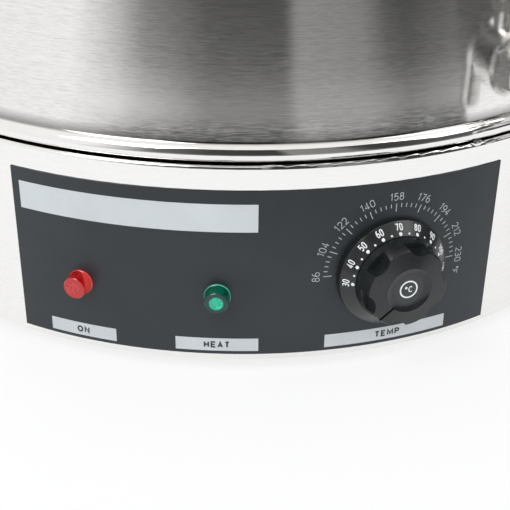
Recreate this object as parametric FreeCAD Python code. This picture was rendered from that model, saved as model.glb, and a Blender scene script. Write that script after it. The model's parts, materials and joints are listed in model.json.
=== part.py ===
# Electric double-wall melting vessel for candle wax: a brushed steel vessel with an insulated inner pot
# stands on a polished base drum that holds the thermostat, the pilot lamps and the wiring.
# Sizes are in millimetres. The origin is on the vessel's axis, on the surface that the feet stand on.
# +Z is up, the control panel faces -Y, and +X is to its right. An azimuth is counted in degrees from -Y
# towards +X. Pieces that point outwards are built along +X and then turned to their azimuth.
import FreeCAD, Part
import math
import os

V = FreeCAD.Vector
Z_UP = V(0, 0, 1)
X_OUT = V(1, 0, 0)
ORIGIN = V(0, 0, 0)

# Base drum
foot_height = 8.0
shell_radius = 230.0
shell_sheet = 1.2
shell_height = 104.0
shell_edge_round = 1.6
shelf_width = 16.0
hem_width = 14.0
plate_sheet = 1.5
plate_side_gap = 0.3

# Feet and base plate screws
foot_count = 4
foot_setback = 40.0
foot_radius = 14.0
foot_taper = 2.0
foot_recess_radius = 6.0
foot_recess_depth = 3.5
foot_screw_radius = 2.5
foot_screw_head = 4.5
foot_screw_grip = 5.0
plate_screw_count = 6
plate_screw_setback = 8.0
plate_screw_radius = 1.8
plate_screw_head = 3.4
plate_screw_length = 6.0
vent_count = 12
vent_inner = 70.0
vent_length = 60.0
vent_width = 5.0

# Bead ring between drum and vessel, and its joint
joint_gap = 1.0
bead_radius = 4.5
bead_sheet = 1.2
ring_foot_width = 8.0
ring_sleeve_height = 9.0
weld_count = 3
weld_azimuth = 26.9
weld_length = 5.2
weld_flat = 3.0
weld_end_share = 0.45
weld_reach = 1.0
weld_rise = 2.2
weld_gap = 0.1
vessel_bolt_count = 6
vessel_bolt_azimuth = 10.0
vessel_bolt_radius = 2.0
vessel_bolt_head = 3.6
vessel_bolt_tail = 1.5

# Vessel wall and inner pot
wall_setback = 3.5
wall_sheet = 1.2
vessel_top = 424.0
jacket_depth = 19.8
pot_sheet = 1.5
pot_floor = 125.5
pot_corner = 12.0
rim_overhang = 1.6
rim_skirt = 9.0
rim_gap = 0.3
wool_gap = 0.5
wool_wall_gap = 2.0
wool_end_gap = 4.0

# Control panel and its strips
panel_sheet = 0.5
glue_film = 0.02
panel_width = 250.0
panel_height = 88.8
panel_foot_gap = 3.2
strip_sheet = 0.15
title_width = 119.0
title_height = 14.3
title_azimuth = -15.2
title_centre_z = 86.1
label_height = 7.2
label_centre_z = 16.7
power_label_width = 36.0
power_label_azimuth = -22.45
working_label_width = 41.0
working_label_azimuth = -5.3
temperature_label_width = 66.6
temperature_label_azimuth = 16.3

# Pilot lamps
lamp_height = 44.5
power_lamp_azimuth = -22.3
working_lamp_azimuth = -5.2
lens_flange_radius = 6.5
lens_flange = 1.1
lens_radius = 6.25
lens_tip_radius = 5.65
lens_reach = 7.6
lens_soft = 0.35
lens_plug_length = 8.0
barrel_radius = 4.8
barrel_bore = 3.8
barrel_length = 24.0
barrel_end = 2.0
barrel_hole_gap = 0.2
lamp_nut_across = 13.0
lamp_nut = 3.4
lamp_tab_length = 7.0
lamp_tab_width = 2.8
lamp_tab_step = 2.2
tab_sheet = 0.8

# Dial ring and turning knob
dial_azimuth = 16.1
dial_height = 52.7
dial_radius = 28.1
dial_rim = 3.2
dial_rise = 8.0
dial_top_radius = 22.4
dial_hole_radius = 18.0
dial_sheet = 1.4
knob_gap = 0.5
grip_radius = 22.0
grip_top_radius = 20.2
grip_height = 12.5
grip_crown = 1.4
grip_skirt = 3.8
grip_edge_round = 0.6
flute_count = 6
flute_radius = 8.0
flute_depth = 2.5
dish_radius = 11.6
dish_depth = 1.3
pointer_width = 1.3
pointer_depth = 0.8
cap_radius = 7.8
cap_thickness = 0.6
hub_radius = 6.0
pointer_rest_angle = -136.7
hollow_wall = 2.2

# Thermostat behind the panel
shaft_radius = 3.0
shaft_clearance = 0.05
bush_radius = 5.0
bush_hole_gap = 0.2
thermostat_width = 36.0
thermostat_tall = 42.0
thermostat_deep = 26.0
thermostat_face_gap = 1.4
thermostat_screw_pitch = 28.0
thermostat_screw_radius = 2.0
thermostat_screw_head = 3.6
capillary_radius = 1.0
bulb_radius = 3.0
bulb_length = 72.0
bulb_outset = 21.0
bulb_azimuth = 24.0
clip_width = 10.0
clip_sheet = 1.0

# Heater under the pot and its shield
heater_plate_radius = 150.0
heater_plate = 8.0
element_circle = 105.0
element_radius = 4.0
element_gap_degrees = 24.0
element_leg = 34.0
element_pin = 6.0
element_pin_radius = 1.2
clamp_length = 232.0
clamp_width = 28.0
clamp_sheet = 3.0
stud_radius = 4.0
stud_nut_across = 13.0
stud_nut = 5.0
shield_setback = 9.0
shield_sheet = 1.2
shield_depth = 14.0
shield_hole_gap = 2.0
cutout_radius = 12.0
cutout_height = 8.0
cutout_azimuth = -60.0
cutout_outset = 22.0

# Terminal block, earth stud and wires
block_size = (56.0, 22.0, 18.0)
block_x = -20.0
block_setback = 80.0
block_ways = 4
earth_x = 45.0
earth_radius = 2.5
earth_height = 20.0
wire_radius = 1.4
wire_bend = 7.0
wire_run = 20.0
wire_side_step = 3.0

# Rear cable gland
gland_height = 43.0
gland_bore = 4.5
gland_thread_radius = 8.0
gland_across = 22.0
gland_collar = 4.5
gland_cap_radius = 10.6
gland_cap_length = 19.5
gland_barrel = 12.0
gland_nut = 4.0
gland_hole_gap = 0.2

# Drain tap
tap_azimuth = 36.8
tap_height = 138.5
tap_bore = 9.0
tap_tube_radius = 12.0
tap_hole_gap = 0.3
tap_gasket_radius = 16.0
tap_gasket_thickness = 3.0
tap_nut_across = 27.0
tap_nut = 6.0
valve_collar = 9.5
valve_housing_radius = 17.0
valve_housing = 28.0
valve_outlet = 8.0
ball_radius = 12.5
ball_bore = 8.0
ball_gap = 0.3
seat_length = 4.0
stem_radius = 4.0
stem_clearance = 0.05
stem_boss_radius = 8.0
stem_boss_top = 25.0
packing_nut_across = 19.0
packing_nut = 6.0
tongue_width = 3.0
tongue_length = 7.4
tongue_depth = 3.6
tongue_gap = 0.1
lever_sheet = 3.0
lever_width = 16.0
lever_flat = 18.0
lever_rise = 9.0
lever_slope = 12.0
lever_reach = 84.0
lever_gap = 0.4
sleeve_length = 50.0
sleeve_wall = 2.4
lever_nut_across = 13.0
lever_nut = 5.0
spout_radius = 10.0
spout_bore = 8.0
spout_straight = 4.0
spout_bend = 14.0
spout_drop = 22.0

# Side handles
handle_height = 345.0
handle_rod_radius = 5.0
handle_span = 104.0
handle_stand = 43.5
handle_bend = 14.0
handle_plate = 2.5
handle_plate_width = 26.0
handle_plate_height = 40.0
rivet_pitch = 26.0
rivet_radius = 2.4
rivet_head = 4.0
rivet_dome = 2.0
rivet_tail = 1.0
rivet_seat_gap = 0.05

# Lid
lid_seat_gap = 0.3
lid_sheet = 1.2
lid_setback = 5.5
lid_skirt_gap = 1.2
lid_skirt = 9.0
lid_dome = 22.0
lid_hem_radius = 2.0
lid_knob_radius = 21.0
lid_knob_neck = 9.0
lid_knob_height = 28.0
lid_screw_radius = 1.95
lid_screw_head = 4.5

# Levels and radii that follow from the sizes above
shell_base_z = foot_height
shell_top_z = foot_height + shell_height
shelf_under_z = shell_top_z - shell_sheet
plate_low_z = shell_base_z + shell_sheet
plate_top_z = plate_low_z + plate_sheet
shell_inner = shell_radius - shell_sheet
shelf_inner = shell_radius - shelf_width
plate_screw_circle = shell_radius - plate_screw_setback
foot_circle = shell_radius - foot_setback
block_place = (block_x, shell_radius - block_setback)
earth_place = (earth_x, shell_radius - block_setback)
wall_radius = shell_radius - wall_setback
bead_low_z = shell_top_z + joint_gap
bead_mid_z = bead_low_z + bead_radius
wall_inner = wall_radius - wall_sheet
wall_base_z = bead_low_z + bead_sheet
ring_bolt_circle = shelf_inner + ring_foot_width / 2
pot_outer = wall_inner - jacket_depth
pot_radius = pot_outer - pot_sheet
lid_radius = wall_radius - lid_setback
handle_reach = wall_radius + handle_stand
pot_under_z = pot_floor - pot_sheet
rim_top_z = vessel_top + pot_sheet
panel_inner = shell_radius + glue_film
panel_radius = shell_radius + panel_sheet
shield_radius = shelf_inner - shield_setback
bulb_circle = heater_plate_radius + bulb_outset
cutout_circle = heater_plate_radius + cutout_outset
grip_low_x = panel_radius + dial_rise + knob_gap
grip_face_x = grip_low_x + grip_height
grip_edge_x = grip_face_x - grip_crown
dish_floor_x = grip_face_x - dish_depth
cap_floor_x = dish_floor_x - cap_thickness
hub_end_x = grip_face_x - 2 * hollow_wall
shield_top_z = shelf_under_z - shield_depth
heater_under_z = pot_under_z - heater_plate
element_z = heater_under_z - element_radius
clamp_top_z = element_z - element_radius
tap_nut_x = wall_radius + tap_gasket_thickness
valve_x = tap_nut_x + tap_nut
housing_x = valve_x + valve_collar
ball_x = housing_x + valve_housing / 2
outlet_x = housing_x + valve_housing
spout_x = outlet_x + valve_outlet
SPARE = 5.0


def cylinder(radius, length, base=ORIGIN, axis=Z_UP):
    return Part.makeCylinder(radius, length, base, axis)


def tube(outer, inner, length, base=ORIGIN, axis=Z_UP):
    start = base - axis * 0.5 * length
    return cylinder(outer, length, base, axis).cut(cylinder(inner, 2 * length, start, axis))


def box(size, centre):
    corner = V(centre[0] - size[0] / 2, centre[1] - size[1] / 2, centre[2] - size[2] / 2)
    return Part.makeBox(size[0], size[1], size[2], corner)


def hexagon(across, length, base=ORIGIN, axis=Z_UP):
    """A six-sided prism with that distance between opposite flats."""
    corner = across / math.sqrt(3)
    turns = [math.pi * k / 3 for k in range(7)]
    points = [V(corner * math.cos(turn), corner * math.sin(turn), 0) for turn in turns]
    prism = Part.Face(Part.makePolygon(points)).extrude(V(0, 0, length))
    prism.Placement = FreeCAD.Placement(base, FreeCAD.Rotation(Z_UP, axis))
    return prism


def turned(points, base=ORIGIN, axis=Z_UP):
    """A solid of revolution from (radius, height) points. A point may be a (mid, end) pair for an arc."""
    edges = []
    here = points[0]
    for point in points[1:] + [points[0]]:
        if isinstance(point[0], tuple):
            mid, end = point
            arc = Part.Arc(V(here[0], 0, here[1]), V(mid[0], 0, mid[1]), V(end[0], 0, end[1]))
            edges.append(arc.toShape())
            here = end
        elif point != here:
            edges.append(Part.makeLine(V(here[0], 0, here[1]), V(point[0], 0, point[1])))
            here = point
    solid = Part.Face(Part.Wire(edges)).revolve(ORIGIN, Z_UP, 360)
    if axis != Z_UP or base != ORIGIN:
        solid.Placement = FreeCAD.Placement(base, FreeCAD.Rotation(Z_UP, axis))
    return solid


def to_azimuth(shape, azimuth, height=0.0):
    """Turns a piece built along +X to an azimuth, and lifts it."""
    copy = shape.copy()
    copy.rotate(ORIGIN, Z_UP, azimuth - 90)
    copy.translate(V(0, 0, height))
    return copy


def around(shape, count, first=0.0):
    """Copies of a piece at equal steps round the vessel's axis."""
    step = 360.0 / count
    return [shape.copy().rotate(ORIGIN, Z_UP, first + k * step) for k in range(count)]


def dome_z(radius, edge_radius, edge_z, rise):
    """The level of a dome, a piece of a ball, at some radius. Its edge and its rise are given."""
    ball = (edge_radius ** 2 + rise ** 2) / (2 * rise)
    return edge_z + rise - ball + math.sqrt(ball ** 2 - radius ** 2)


def dome_arc(edge_radius, edge_z, rise, end_radius=0.0):
    """The arc of a dome's section, from its edge up to an inner radius, for turned()."""
    middle = (edge_radius + end_radius) / 2
    return ((middle, dome_z(middle, edge_radius, edge_z, rise)),
            (end_radius, dome_z(end_radius, edge_radius, edge_z, rise)))


def fuse_all(shapes):
    return shapes[0].multiFuse(shapes[1:]).removeSplitter()


def curved_plate(inner, outer, width, height, azimuth, centre_z):
    """A piece of a cylinder's wall: its width is measured along the arc of its outer face."""
    angle = math.degrees(width / outer)
    blank = Part.makeCylinder(outer, height, V(0, 0, centre_z - height / 2), Z_UP, angle)
    hollow = Part.makeCylinder(inner, 2 * height, V(0, 0, centre_z - height))
    plate = blank.cut(hollow)
    plate.rotate(ORIGIN, Z_UP, azimuth - 90 - angle / 2)
    return plate


def bent_tube(points, radius, bend):
    """A round tube along straight runs joined by tangent arcs of one radius."""
    points = [V(*p) for p in points]
    edges = []
    start = points[0]
    for before, corner, after in zip(points, points[1:], points[2:]):
        into = (corner - before).normalize()
        out = (after - corner).normalize()
        turn = into.getAngle(out)
        reach = bend * math.tan(turn / 2)
        first = corner - into * reach
        last = corner + out * reach
        inward = (out - into).normalize()
        middle = corner + inward * (bend / math.cos(turn / 2) - bend)
        edges.append(Part.makeLine(start, first))
        edges.append(Part.Arc(first, middle, last).toShape())
        start = last
    edges.append(Part.makeLine(start, points[-1]))
    path = Part.Wire(edges)
    direction = (points[1] - points[0]).normalize()
    profile = Part.Wire([Part.makeCircle(radius, points[0], direction)])
    return path.makePipeShell([profile], True, False)


def base_shell():
    """The drum: wall, shelf turned in at the top and hem turned in at the bottom."""
    soft = shell_edge_round
    outer = turned([
        (shelf_inner, shell_top_z),
        (shell_radius - soft, shell_top_z),
        ((shell_radius - soft * (1 - math.sqrt(0.5)), shell_top_z - soft * (1 - math.sqrt(0.5))),
         (shell_radius, shell_top_z - soft)),
        (shell_radius, shell_base_z),
        (shell_radius - hem_width, shell_base_z),
        (shell_radius - hem_width, plate_low_z),
        (shell_inner, plate_low_z),
        (shell_inner, shelf_under_z),
        (shelf_inner, shelf_under_z),
    ])
    holes = []
    for azimuth in (power_lamp_azimuth, working_lamp_azimuth):
        holes.append(to_azimuth(radial_hole(barrel_radius + barrel_hole_gap), azimuth, lamp_height))
    holes.append(to_azimuth(radial_hole(bush_radius + bush_hole_gap), dial_azimuth, dial_height))
    for side in (-1, 1):
        level = dial_height + side * thermostat_screw_pitch / 2
        holes.append(to_azimuth(radial_hole(thermostat_screw_radius + bush_hole_gap), dial_azimuth, level))
    holes.append(to_azimuth(radial_hole(gland_thread_radius + gland_hole_gap), 180, gland_height))
    holes += vessel_bolt_holes()
    holes += plate_screw_holes()
    return outer.cut(Part.makeCompound(holes))


def radial_hole(radius):
    """A drill along +X through the drum's wall."""
    return cylinder(radius, 4 * SPARE, V(shell_radius - 2 * SPARE, 0, 0), X_OUT)


def vessel_bolt_holes():
    drill = cylinder(vessel_bolt_radius, 6 * SPARE, V(ring_bolt_circle, 0, shell_top_z - 3 * SPARE))
    return around(drill, vessel_bolt_count, vessel_bolt_azimuth)


def plate_screw_holes():
    drill = cylinder(plate_screw_radius, 2 * SPARE, V(plate_screw_circle, 0, plate_low_z - SPARE))
    return around(drill, plate_screw_count)


def base_plate():
    """Disc inside the drum, on the hem, with vent slots, foot holes and a terminal stud hole."""
    disc = cylinder(shell_inner - plate_side_gap, plate_sheet, V(0, 0, plate_low_z))
    slot = box((vent_length, vent_width, 4 * SPARE), (vent_inner + vent_length / 2, 0, plate_low_z))
    foot_hole = cylinder(foot_screw_radius, 4 * SPARE, V(foot_circle, 0, 0))
    earth_hole = cylinder(earth_radius, 4 * SPARE, V(earth_place[0], earth_place[1], 0))
    cuts = around(slot, vent_count, 15) + around(foot_hole, foot_count, 45) + plate_screw_holes()
    return disc.cut(Part.makeCompound(cuts + [earth_hole]))


def base_plate_screws():
    shank = cylinder(plate_screw_radius, plate_screw_length, V(plate_screw_circle, 0, shell_base_z))
    head = turned([(0, 0), (plate_screw_head * 0.6, 0), (plate_screw_head, plate_screw_radius * 0.6),
                   (plate_screw_head, plate_screw_radius), (0, plate_screw_radius)])
    head.translate(V(plate_screw_circle, 0, shell_base_z - plate_screw_radius))
    return Part.makeCompound(around(shank.fuse(head).removeSplitter(), plate_screw_count))


def rubber_feet():
    """Tapered feet under the base plate, each with a recess for its screw's head."""
    top = plate_low_z
    foot = turned([(0, 0), (foot_radius - foot_taper, 0), (foot_radius, top), (0, top)])
    foot = foot.cut(cylinder(foot_recess_radius, foot_recess_depth))
    foot = foot.cut(cylinder(foot_screw_radius, top))
    foot.translate(V(foot_circle, 0, 0))
    return Part.makeCompound(around(foot, foot_count, 45))


def foot_screws():
    """One screw and nut through each foot and the base plate."""
    head = cylinder(foot_screw_head, foot_recess_depth * 0.6, V(0, 0, foot_recess_depth * 0.4))
    shank_top = plate_top_z + foot_screw_grip
    shank = cylinder(foot_screw_radius, shank_top - foot_recess_depth, V(0, 0, foot_recess_depth))
    nut = hexagon(foot_screw_head * 2, foot_screw_grip * 0.8, V(0, 0, plate_top_z))
    screw = fuse_all([head, shank, nut])
    screw.translate(V(foot_circle, 0, 0))
    return Part.makeCompound(around(screw, foot_count, 45))


def control_panel():
    """Overlay sheet bent round the drum, with holes for lamps, thermostat bush and screws."""
    centre = shell_base_z + panel_foot_gap + panel_height / 2
    sheet = curved_plate(panel_inner, panel_radius, panel_width, panel_height, 0, centre)
    drills = []
    for azimuth in (power_lamp_azimuth, working_lamp_azimuth):
        drills.append(to_azimuth(radial_hole(barrel_radius + barrel_hole_gap), azimuth, lamp_height))
    drills.append(to_azimuth(radial_hole(bush_radius + bush_hole_gap), dial_azimuth, dial_height))
    for side in (-1, 1):
        level = dial_height + side * thermostat_screw_pitch / 2
        drills.append(to_azimuth(radial_hole(thermostat_screw_head + bush_hole_gap), dial_azimuth, level))
    return sheet.cut(Part.makeCompound(drills))


def label_strips():
    """One wide strip near the panel's top and a narrow one under each lamp and under the dial."""
    places = [
        (title_width, title_height, title_azimuth, title_centre_z),
        (power_label_width, label_height, power_label_azimuth, label_centre_z),
        (working_label_width, label_height, working_label_azimuth, label_centre_z),
        (temperature_label_width, label_height, temperature_label_azimuth, label_centre_z),
    ]
    inner = panel_radius + glue_film
    outer = panel_radius + strip_sheet
    return Part.makeCompound([curved_plate(inner, outer, *place) for place in places])


def lamp_lens():
    """Lens along +X: flange on the panel, tapered body with a flat face, and a plug in the barrel."""
    tip = panel_radius + lens_reach
    flange_x = panel_radius + lens_flange
    profile = [
        (0, panel_radius - lens_plug_length),
        (barrel_bore, panel_radius - lens_plug_length),
        (barrel_bore, panel_radius),
        (lens_flange_radius, panel_radius),
        (lens_flange_radius, flange_x - lens_soft),
        (lens_flange_radius - lens_soft, flange_x),
        (lens_radius, flange_x),
        (lens_tip_radius, tip - lens_soft),
        (lens_tip_radius - lens_soft, tip),
        (0, tip),
    ]
    return turned(profile, ORIGIN, X_OUT)


def lamp_holder():
    """Threaded barrel behind the lens, closed at its rear, with two blade tabs."""
    start = panel_radius - barrel_length
    barrel = cylinder(barrel_radius, barrel_length, V(start, 0, 0), X_OUT)
    bore_length = barrel_length - barrel_end
    bore_start = V(panel_radius - bore_length, 0, 0)
    barrel = barrel.cut(cylinder(barrel_bore, bore_length + SPARE, bore_start, X_OUT))
    tab_size = (lamp_tab_length, tab_sheet, lamp_tab_width)
    tabs = [box(tab_size, (start - lamp_tab_length / 2, side * lamp_tab_step, 0)) for side in (-1, 1)]
    return fuse_all([barrel] + tabs)


def lamp_nut_ring():
    """Hexagon nut that clamps the lamp's barrel to the inside of the drum."""
    sagitta = shell_inner - math.sqrt(shell_inner ** 2 - (lamp_nut_across / math.sqrt(3)) ** 2)
    start = V(shell_inner - sagitta - lamp_nut, 0, 0)
    drill = cylinder(barrel_radius, 9 * lamp_nut, start - X_OUT * SPARE, X_OUT)
    return hexagon(lamp_nut_across, lamp_nut, start, X_OUT).cut(drill)


def dial_ring():
    """Fixed conical ring on the panel: its back edge follows the panel's curve."""
    back = panel_radius - 3.0
    rim = panel_radius + dial_rim
    top = panel_radius + dial_rise
    profile = [
        (dial_radius - dial_sheet, back), (dial_radius, back), (dial_radius, rim - 0.5),
        (dial_radius - 0.5, rim), (dial_top_radius, top), (dial_hole_radius, top),
        (dial_hole_radius, top - dial_sheet), (dial_top_radius - dial_sheet * 0.6, top - dial_sheet),
        (dial_radius - dial_sheet, rim - dial_sheet),
    ]
    ring = turned(profile, ORIGIN, X_OUT)
    return ring.cut(cylinder(panel_radius, 4 * dial_radius, V(0, 0, -2 * dial_radius)))


def knob_grip():
    """Fluted grip along +X, hollow behind, with a crowned face, a dish, a pointer groove and a bore."""
    soft = grip_edge_round
    body = turned([
        (0, grip_low_x), (grip_radius, grip_low_x), (grip_top_radius, grip_edge_x - soft),
        ((grip_top_radius - soft * 0.3, grip_edge_x - soft * 0.3), (grip_top_radius - soft, grip_edge_x)),
        (dish_radius, grip_face_x), (0, grip_face_x),
    ], ORIGIN, X_OUT)
    mid_radius = (cap_radius + dish_radius) / 2
    dish = turned([
        (0, dish_floor_x), (cap_radius, dish_floor_x),
        ((mid_radius, dish_floor_x + dish_depth * 0.32), (dish_radius, grip_face_x)),
        (dish_radius, grip_face_x + SPARE), (0, grip_face_x + SPARE),
    ], ORIGIN, X_OUT)
    pocket = cylinder(cap_radius, 2 * cap_thickness, V(cap_floor_x, 0, 0), X_OUT)
    hub_length = hub_end_x - grip_low_x
    hollow_radius = grip_top_radius - flute_depth - hollow_wall
    hollow = tube(hollow_radius, hub_radius, hub_length, V(grip_low_x, 0, 0), X_OUT)
    bore = cylinder(shaft_radius, hub_length, V(grip_low_x, 0, 0), X_OUT)
    grip = body.cut(Part.makeCompound([hollow, bore])).cut(dish).cut(pocket)
    reach = grip_top_radius - flute_depth + flute_radius
    flute = cylinder(flute_radius, grip_height, V(grip_low_x + grip_skirt, 0, reach), X_OUT)
    step = 360.0 / flute_count
    flutes = [flute.copy().rotate(ORIGIN, X_OUT, (k + 0.5) * step) for k in range(flute_count)]
    groove_length = grip_top_radius - dish_radius + 4
    groove = box((2 * pointer_depth, pointer_width, groove_length), (0, 0, groove_length / 2 - 1))
    fall = grip_crown + pointer_depth / 2
    groove.rotate(ORIGIN, V(0, -1, 0), math.degrees(math.atan2(fall, grip_top_radius - dish_radius)))
    groove.translate(V(grip_face_x, 0, dish_radius))
    grip = grip.cut(Part.makeCompound(flutes)).cut(groove)
    return grip.rotate(ORIGIN, X_OUT, -pointer_rest_angle)


def knob_cap():
    return cylinder(cap_radius, cap_thickness, V(cap_floor_x, 0, 0), X_OUT)


def thermostat_front_x():
    """Where the thermostat's flat front stands, just clear of the curved wall."""
    half = thermostat_width / 2
    return math.sqrt(shell_inner ** 2 - half ** 2) - thermostat_face_gap + 1.0


def thermostat_body():
    """Case with a bush for the shaft, a diaphragm housing at the rear and three blade tabs."""
    front = thermostat_front_x()
    case = box((thermostat_deep, thermostat_width, thermostat_tall), (front - thermostat_deep / 2, 0, 0))
    case = case.makeFillet(2.0, [e for e in case.Edges if abs(e.tangentAt(0).x) > 0.9])
    bush = cylinder(bush_radius, panel_radius + 2 - front, V(front, 0, 0), X_OUT)
    housing = cylinder(14, 5, V(front - thermostat_deep - 5, 0, 0), X_OUT)
    tabs = [box((9, 0.8, 6.3), (front - thermostat_deep - 4.5, side * 15.5, -14)) for side in (-1, 1)]
    case = fuse_all([case, bush, housing] + tabs)
    bore_start = front - thermostat_deep * 0.6
    case = case.cut(cylinder(shaft_radius + shaft_clearance, 2 * thermostat_deep, V(bore_start, 0, 0), X_OUT))
    for side in (-1, 1):
        start = V(front - SPARE, 0, side * thermostat_screw_pitch / 2)
        case = case.cut(cylinder(thermostat_screw_radius, 2 * SPARE, start, X_OUT))
    return case


def thermostat_shaft():
    """Shaft from inside the thermostat to the knob's bore."""
    start = thermostat_front_x() - thermostat_deep * 0.6 + 0.5
    return cylinder(shaft_radius, hub_end_x - start, V(start, 0, 0), X_OUT)


def thermostat_screws():
    """Two screws from outside the drum into the thermostat's front, under the dial ring."""
    front = thermostat_front_x()
    seat = shell_radius
    screws = []
    for side in (-1, 1):
        level = side * thermostat_screw_pitch / 2
        shank = cylinder(thermostat_screw_radius, seat - front + SPARE, V(front - SPARE, 0, level), X_OUT)
        head = cylinder(thermostat_screw_head, 2.4, V(seat, 0, level), X_OUT)
        screws.append(shank.fuse(head).removeSplitter())
    return Part.makeCompound(screws)


def bead_ring():
    """Rolled half-round bead with a foot on the drum's shelf and a sleeve inside the vessel's wall."""
    r = wall_radius
    inner = bead_radius - bead_sheet
    sleeve_in = wall_inner - bead_sheet
    foot_in = shelf_inner
    return turned([
        (foot_in, shell_top_z), (foot_in + ring_foot_width, shell_top_z),
        (foot_in + ring_foot_width, bead_low_z), (r, bead_low_z),
        ((r + bead_radius, bead_mid_z), (r, bead_mid_z + bead_radius)),
        (r, bead_mid_z + inner),
        ((r + inner, bead_mid_z), (r, bead_mid_z - inner)),
        (wall_inner, wall_base_z), (wall_inner, wall_base_z + ring_sleeve_height),
        (sleeve_in, wall_base_z + ring_sleeve_height), (sleeve_in, wall_base_z), (foot_in, wall_base_z),
    ]).cut(Part.makeCompound(vessel_bolt_holes()))


def weld_section(y, share):
    """One flat-sided section of a weld, from the joint outwards, drawn in towards its middle by a share."""
    drum_soft = shell_edge_round + 1.5 * weld_gap
    bead_soft = bead_radius + 1.5 * weld_gap
    drum_x = shell_radius - shell_edge_round
    drum_z = shell_top_z - shell_edge_round
    outline = [(wall_radius, shell_top_z + weld_gap)]
    for angle in (80, 50, 20):
        turn = math.radians(angle)
        outline.append((drum_x + drum_soft * math.cos(turn), drum_z + drum_soft * math.sin(turn)))
    outline.append((shell_radius + weld_reach * 0.7, shell_top_z - weld_rise * 0.35))
    outline.append((shell_radius + weld_reach, shell_top_z + joint_gap / 2))
    outline.append((shell_radius + weld_reach * 0.7, shell_top_z + joint_gap + weld_rise * 0.35))
    for angle in (-38, -58, -78):
        turn = math.radians(angle)
        outline.append((wall_radius + bead_soft * math.cos(turn), bead_mid_z + bead_soft * math.sin(turn)))
    outline.append((wall_radius, bead_low_z - weld_gap))
    middle_x = shell_radius - weld_reach * 0.7
    middle_z = shell_top_z + joint_gap / 2
    points = [V(middle_x + share * (x - middle_x), y, middle_z + share * (z - middle_z)) for x, z in outline]
    return Part.makePolygon(points + [points[0]])


def tack_welds():
    """Short welds that bridge the joint between drum and bead."""
    sections = [
        weld_section(-weld_length / 2, weld_end_share), weld_section(-weld_flat / 2, 1.0),
        weld_section(weld_flat / 2, 1.0), weld_section(weld_length / 2, weld_end_share),
    ]
    weld = Part.makeLoft(sections, True, True)
    azimuths = [weld_azimuth + k * 360.0 / weld_count for k in range(weld_count)]
    return Part.makeCompound([to_azimuth(weld, azimuth) for azimuth in azimuths])


def vessel_bolts():
    """Bolts that hold ring, shelf and heat shield together."""
    head_z = wall_base_z
    low = shelf_under_z - shield_sheet
    nut_height = 2 * vessel_bolt_radius * 0.8
    shank = cylinder(vessel_bolt_radius, head_z - low + nut_height + vessel_bolt_tail,
                     V(0, 0, low - nut_height - vessel_bolt_tail))
    head = cylinder(vessel_bolt_head, 2.4, V(0, 0, head_z))
    nut = hexagon(2 * vessel_bolt_head, nut_height, V(0, 0, low - nut_height))
    bolt = fuse_all([shank, head, nut])
    bolt.translate(V(ring_bolt_circle, 0, 0))
    return Part.makeCompound(around(bolt, vessel_bolt_count, vessel_bolt_azimuth))


def tap_drill(radius):
    """A drill along the tap's axis, from inside the pot to outside the wall."""
    drill = cylinder(radius, wall_radius, V(wall_radius / 2, 0, 0), X_OUT)
    return to_azimuth(drill, tap_azimuth, tap_height)


def handle_angle():
    return math.degrees(math.asin(handle_span / 2 / wall_radius))


def handle_places():
    """The azimuths of the four handle plates."""
    return [side + leg * handle_angle() for side in (90, 270) for leg in (-1, 1)]


def rivet_holes():
    drill = cylinder(rivet_radius, 6 * SPARE, V(wall_radius - 3 * SPARE, 0, 0), X_OUT)
    return [to_azimuth(drill, azimuth, handle_height + side * rivet_pitch / 2)
            for azimuth in handle_places() for side in (-1, 1)]


def vessel_wall():
    wall = tube(wall_radius, wall_inner, vessel_top - wall_base_z, V(0, 0, wall_base_z))
    return wall.cut(Part.makeCompound([tap_drill(tap_tube_radius + tap_hole_gap)] + rivet_holes()))


def inner_pot():
    """Deep pot with rounded floor corner and a rim that hooks over the vessel's wall."""
    outer_corner = pot_corner + pot_sheet
    s = 1 - math.sqrt(0.5)
    skirt_in = wall_radius + rim_gap
    skirt_out = skirt_in + rim_overhang
    soft = 1.2
    pot = turned([
        (0, pot_under_z), (pot_outer - outer_corner, pot_under_z),
        ((pot_outer - outer_corner * s, pot_under_z + outer_corner * s),
         (pot_outer, pot_under_z + outer_corner)),
        (pot_outer, vessel_top), (skirt_in, vessel_top), (skirt_in, vessel_top - rim_skirt),
        (skirt_out, vessel_top - rim_skirt), (skirt_out, rim_top_z - soft),
        ((skirt_out - soft * s, rim_top_z - soft * s), (skirt_out - soft, rim_top_z)),
        (pot_radius + soft, rim_top_z),
        ((pot_radius + soft * s, rim_top_z - soft * s), (pot_radius, rim_top_z - soft)),
        (pot_radius, pot_floor + pot_corner),
        ((pot_radius - pot_corner * s, pot_floor + pot_corner * s), (pot_radius - pot_corner, pot_floor)),
        (0, pot_floor),
    ])
    pot = pot.cut(tap_drill(tap_tube_radius))
    return pot.fuse(clamp_stud()).removeSplitter()


def jacket_wool():
    """Insulation between pot and wall."""
    low = bead_mid_z + bead_radius + wool_end_gap + pot_corner
    high = vessel_top - wool_end_gap
    wool = tube(wall_inner - wool_wall_gap, pot_outer + wool_gap, high - low, V(0, 0, low))
    return wool.cut(tap_drill(tap_tube_radius + wool_gap))


def heating_plate():
    plate = cylinder(heater_plate_radius, heater_plate, V(0, 0, heater_under_z))
    return plate.cut(cylinder(stud_radius, 4 * heater_plate, V(0, 0, heater_under_z - heater_plate)))


def element_leg_points():
    """The route of each cold end of the element: down from the ring towards the drum's base."""
    half = math.radians(element_gap_degrees / 2)
    return [V(element_circle * math.sin(side * half), element_circle * math.cos(side * half), element_z)
            for side in (-1, 1)]


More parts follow.
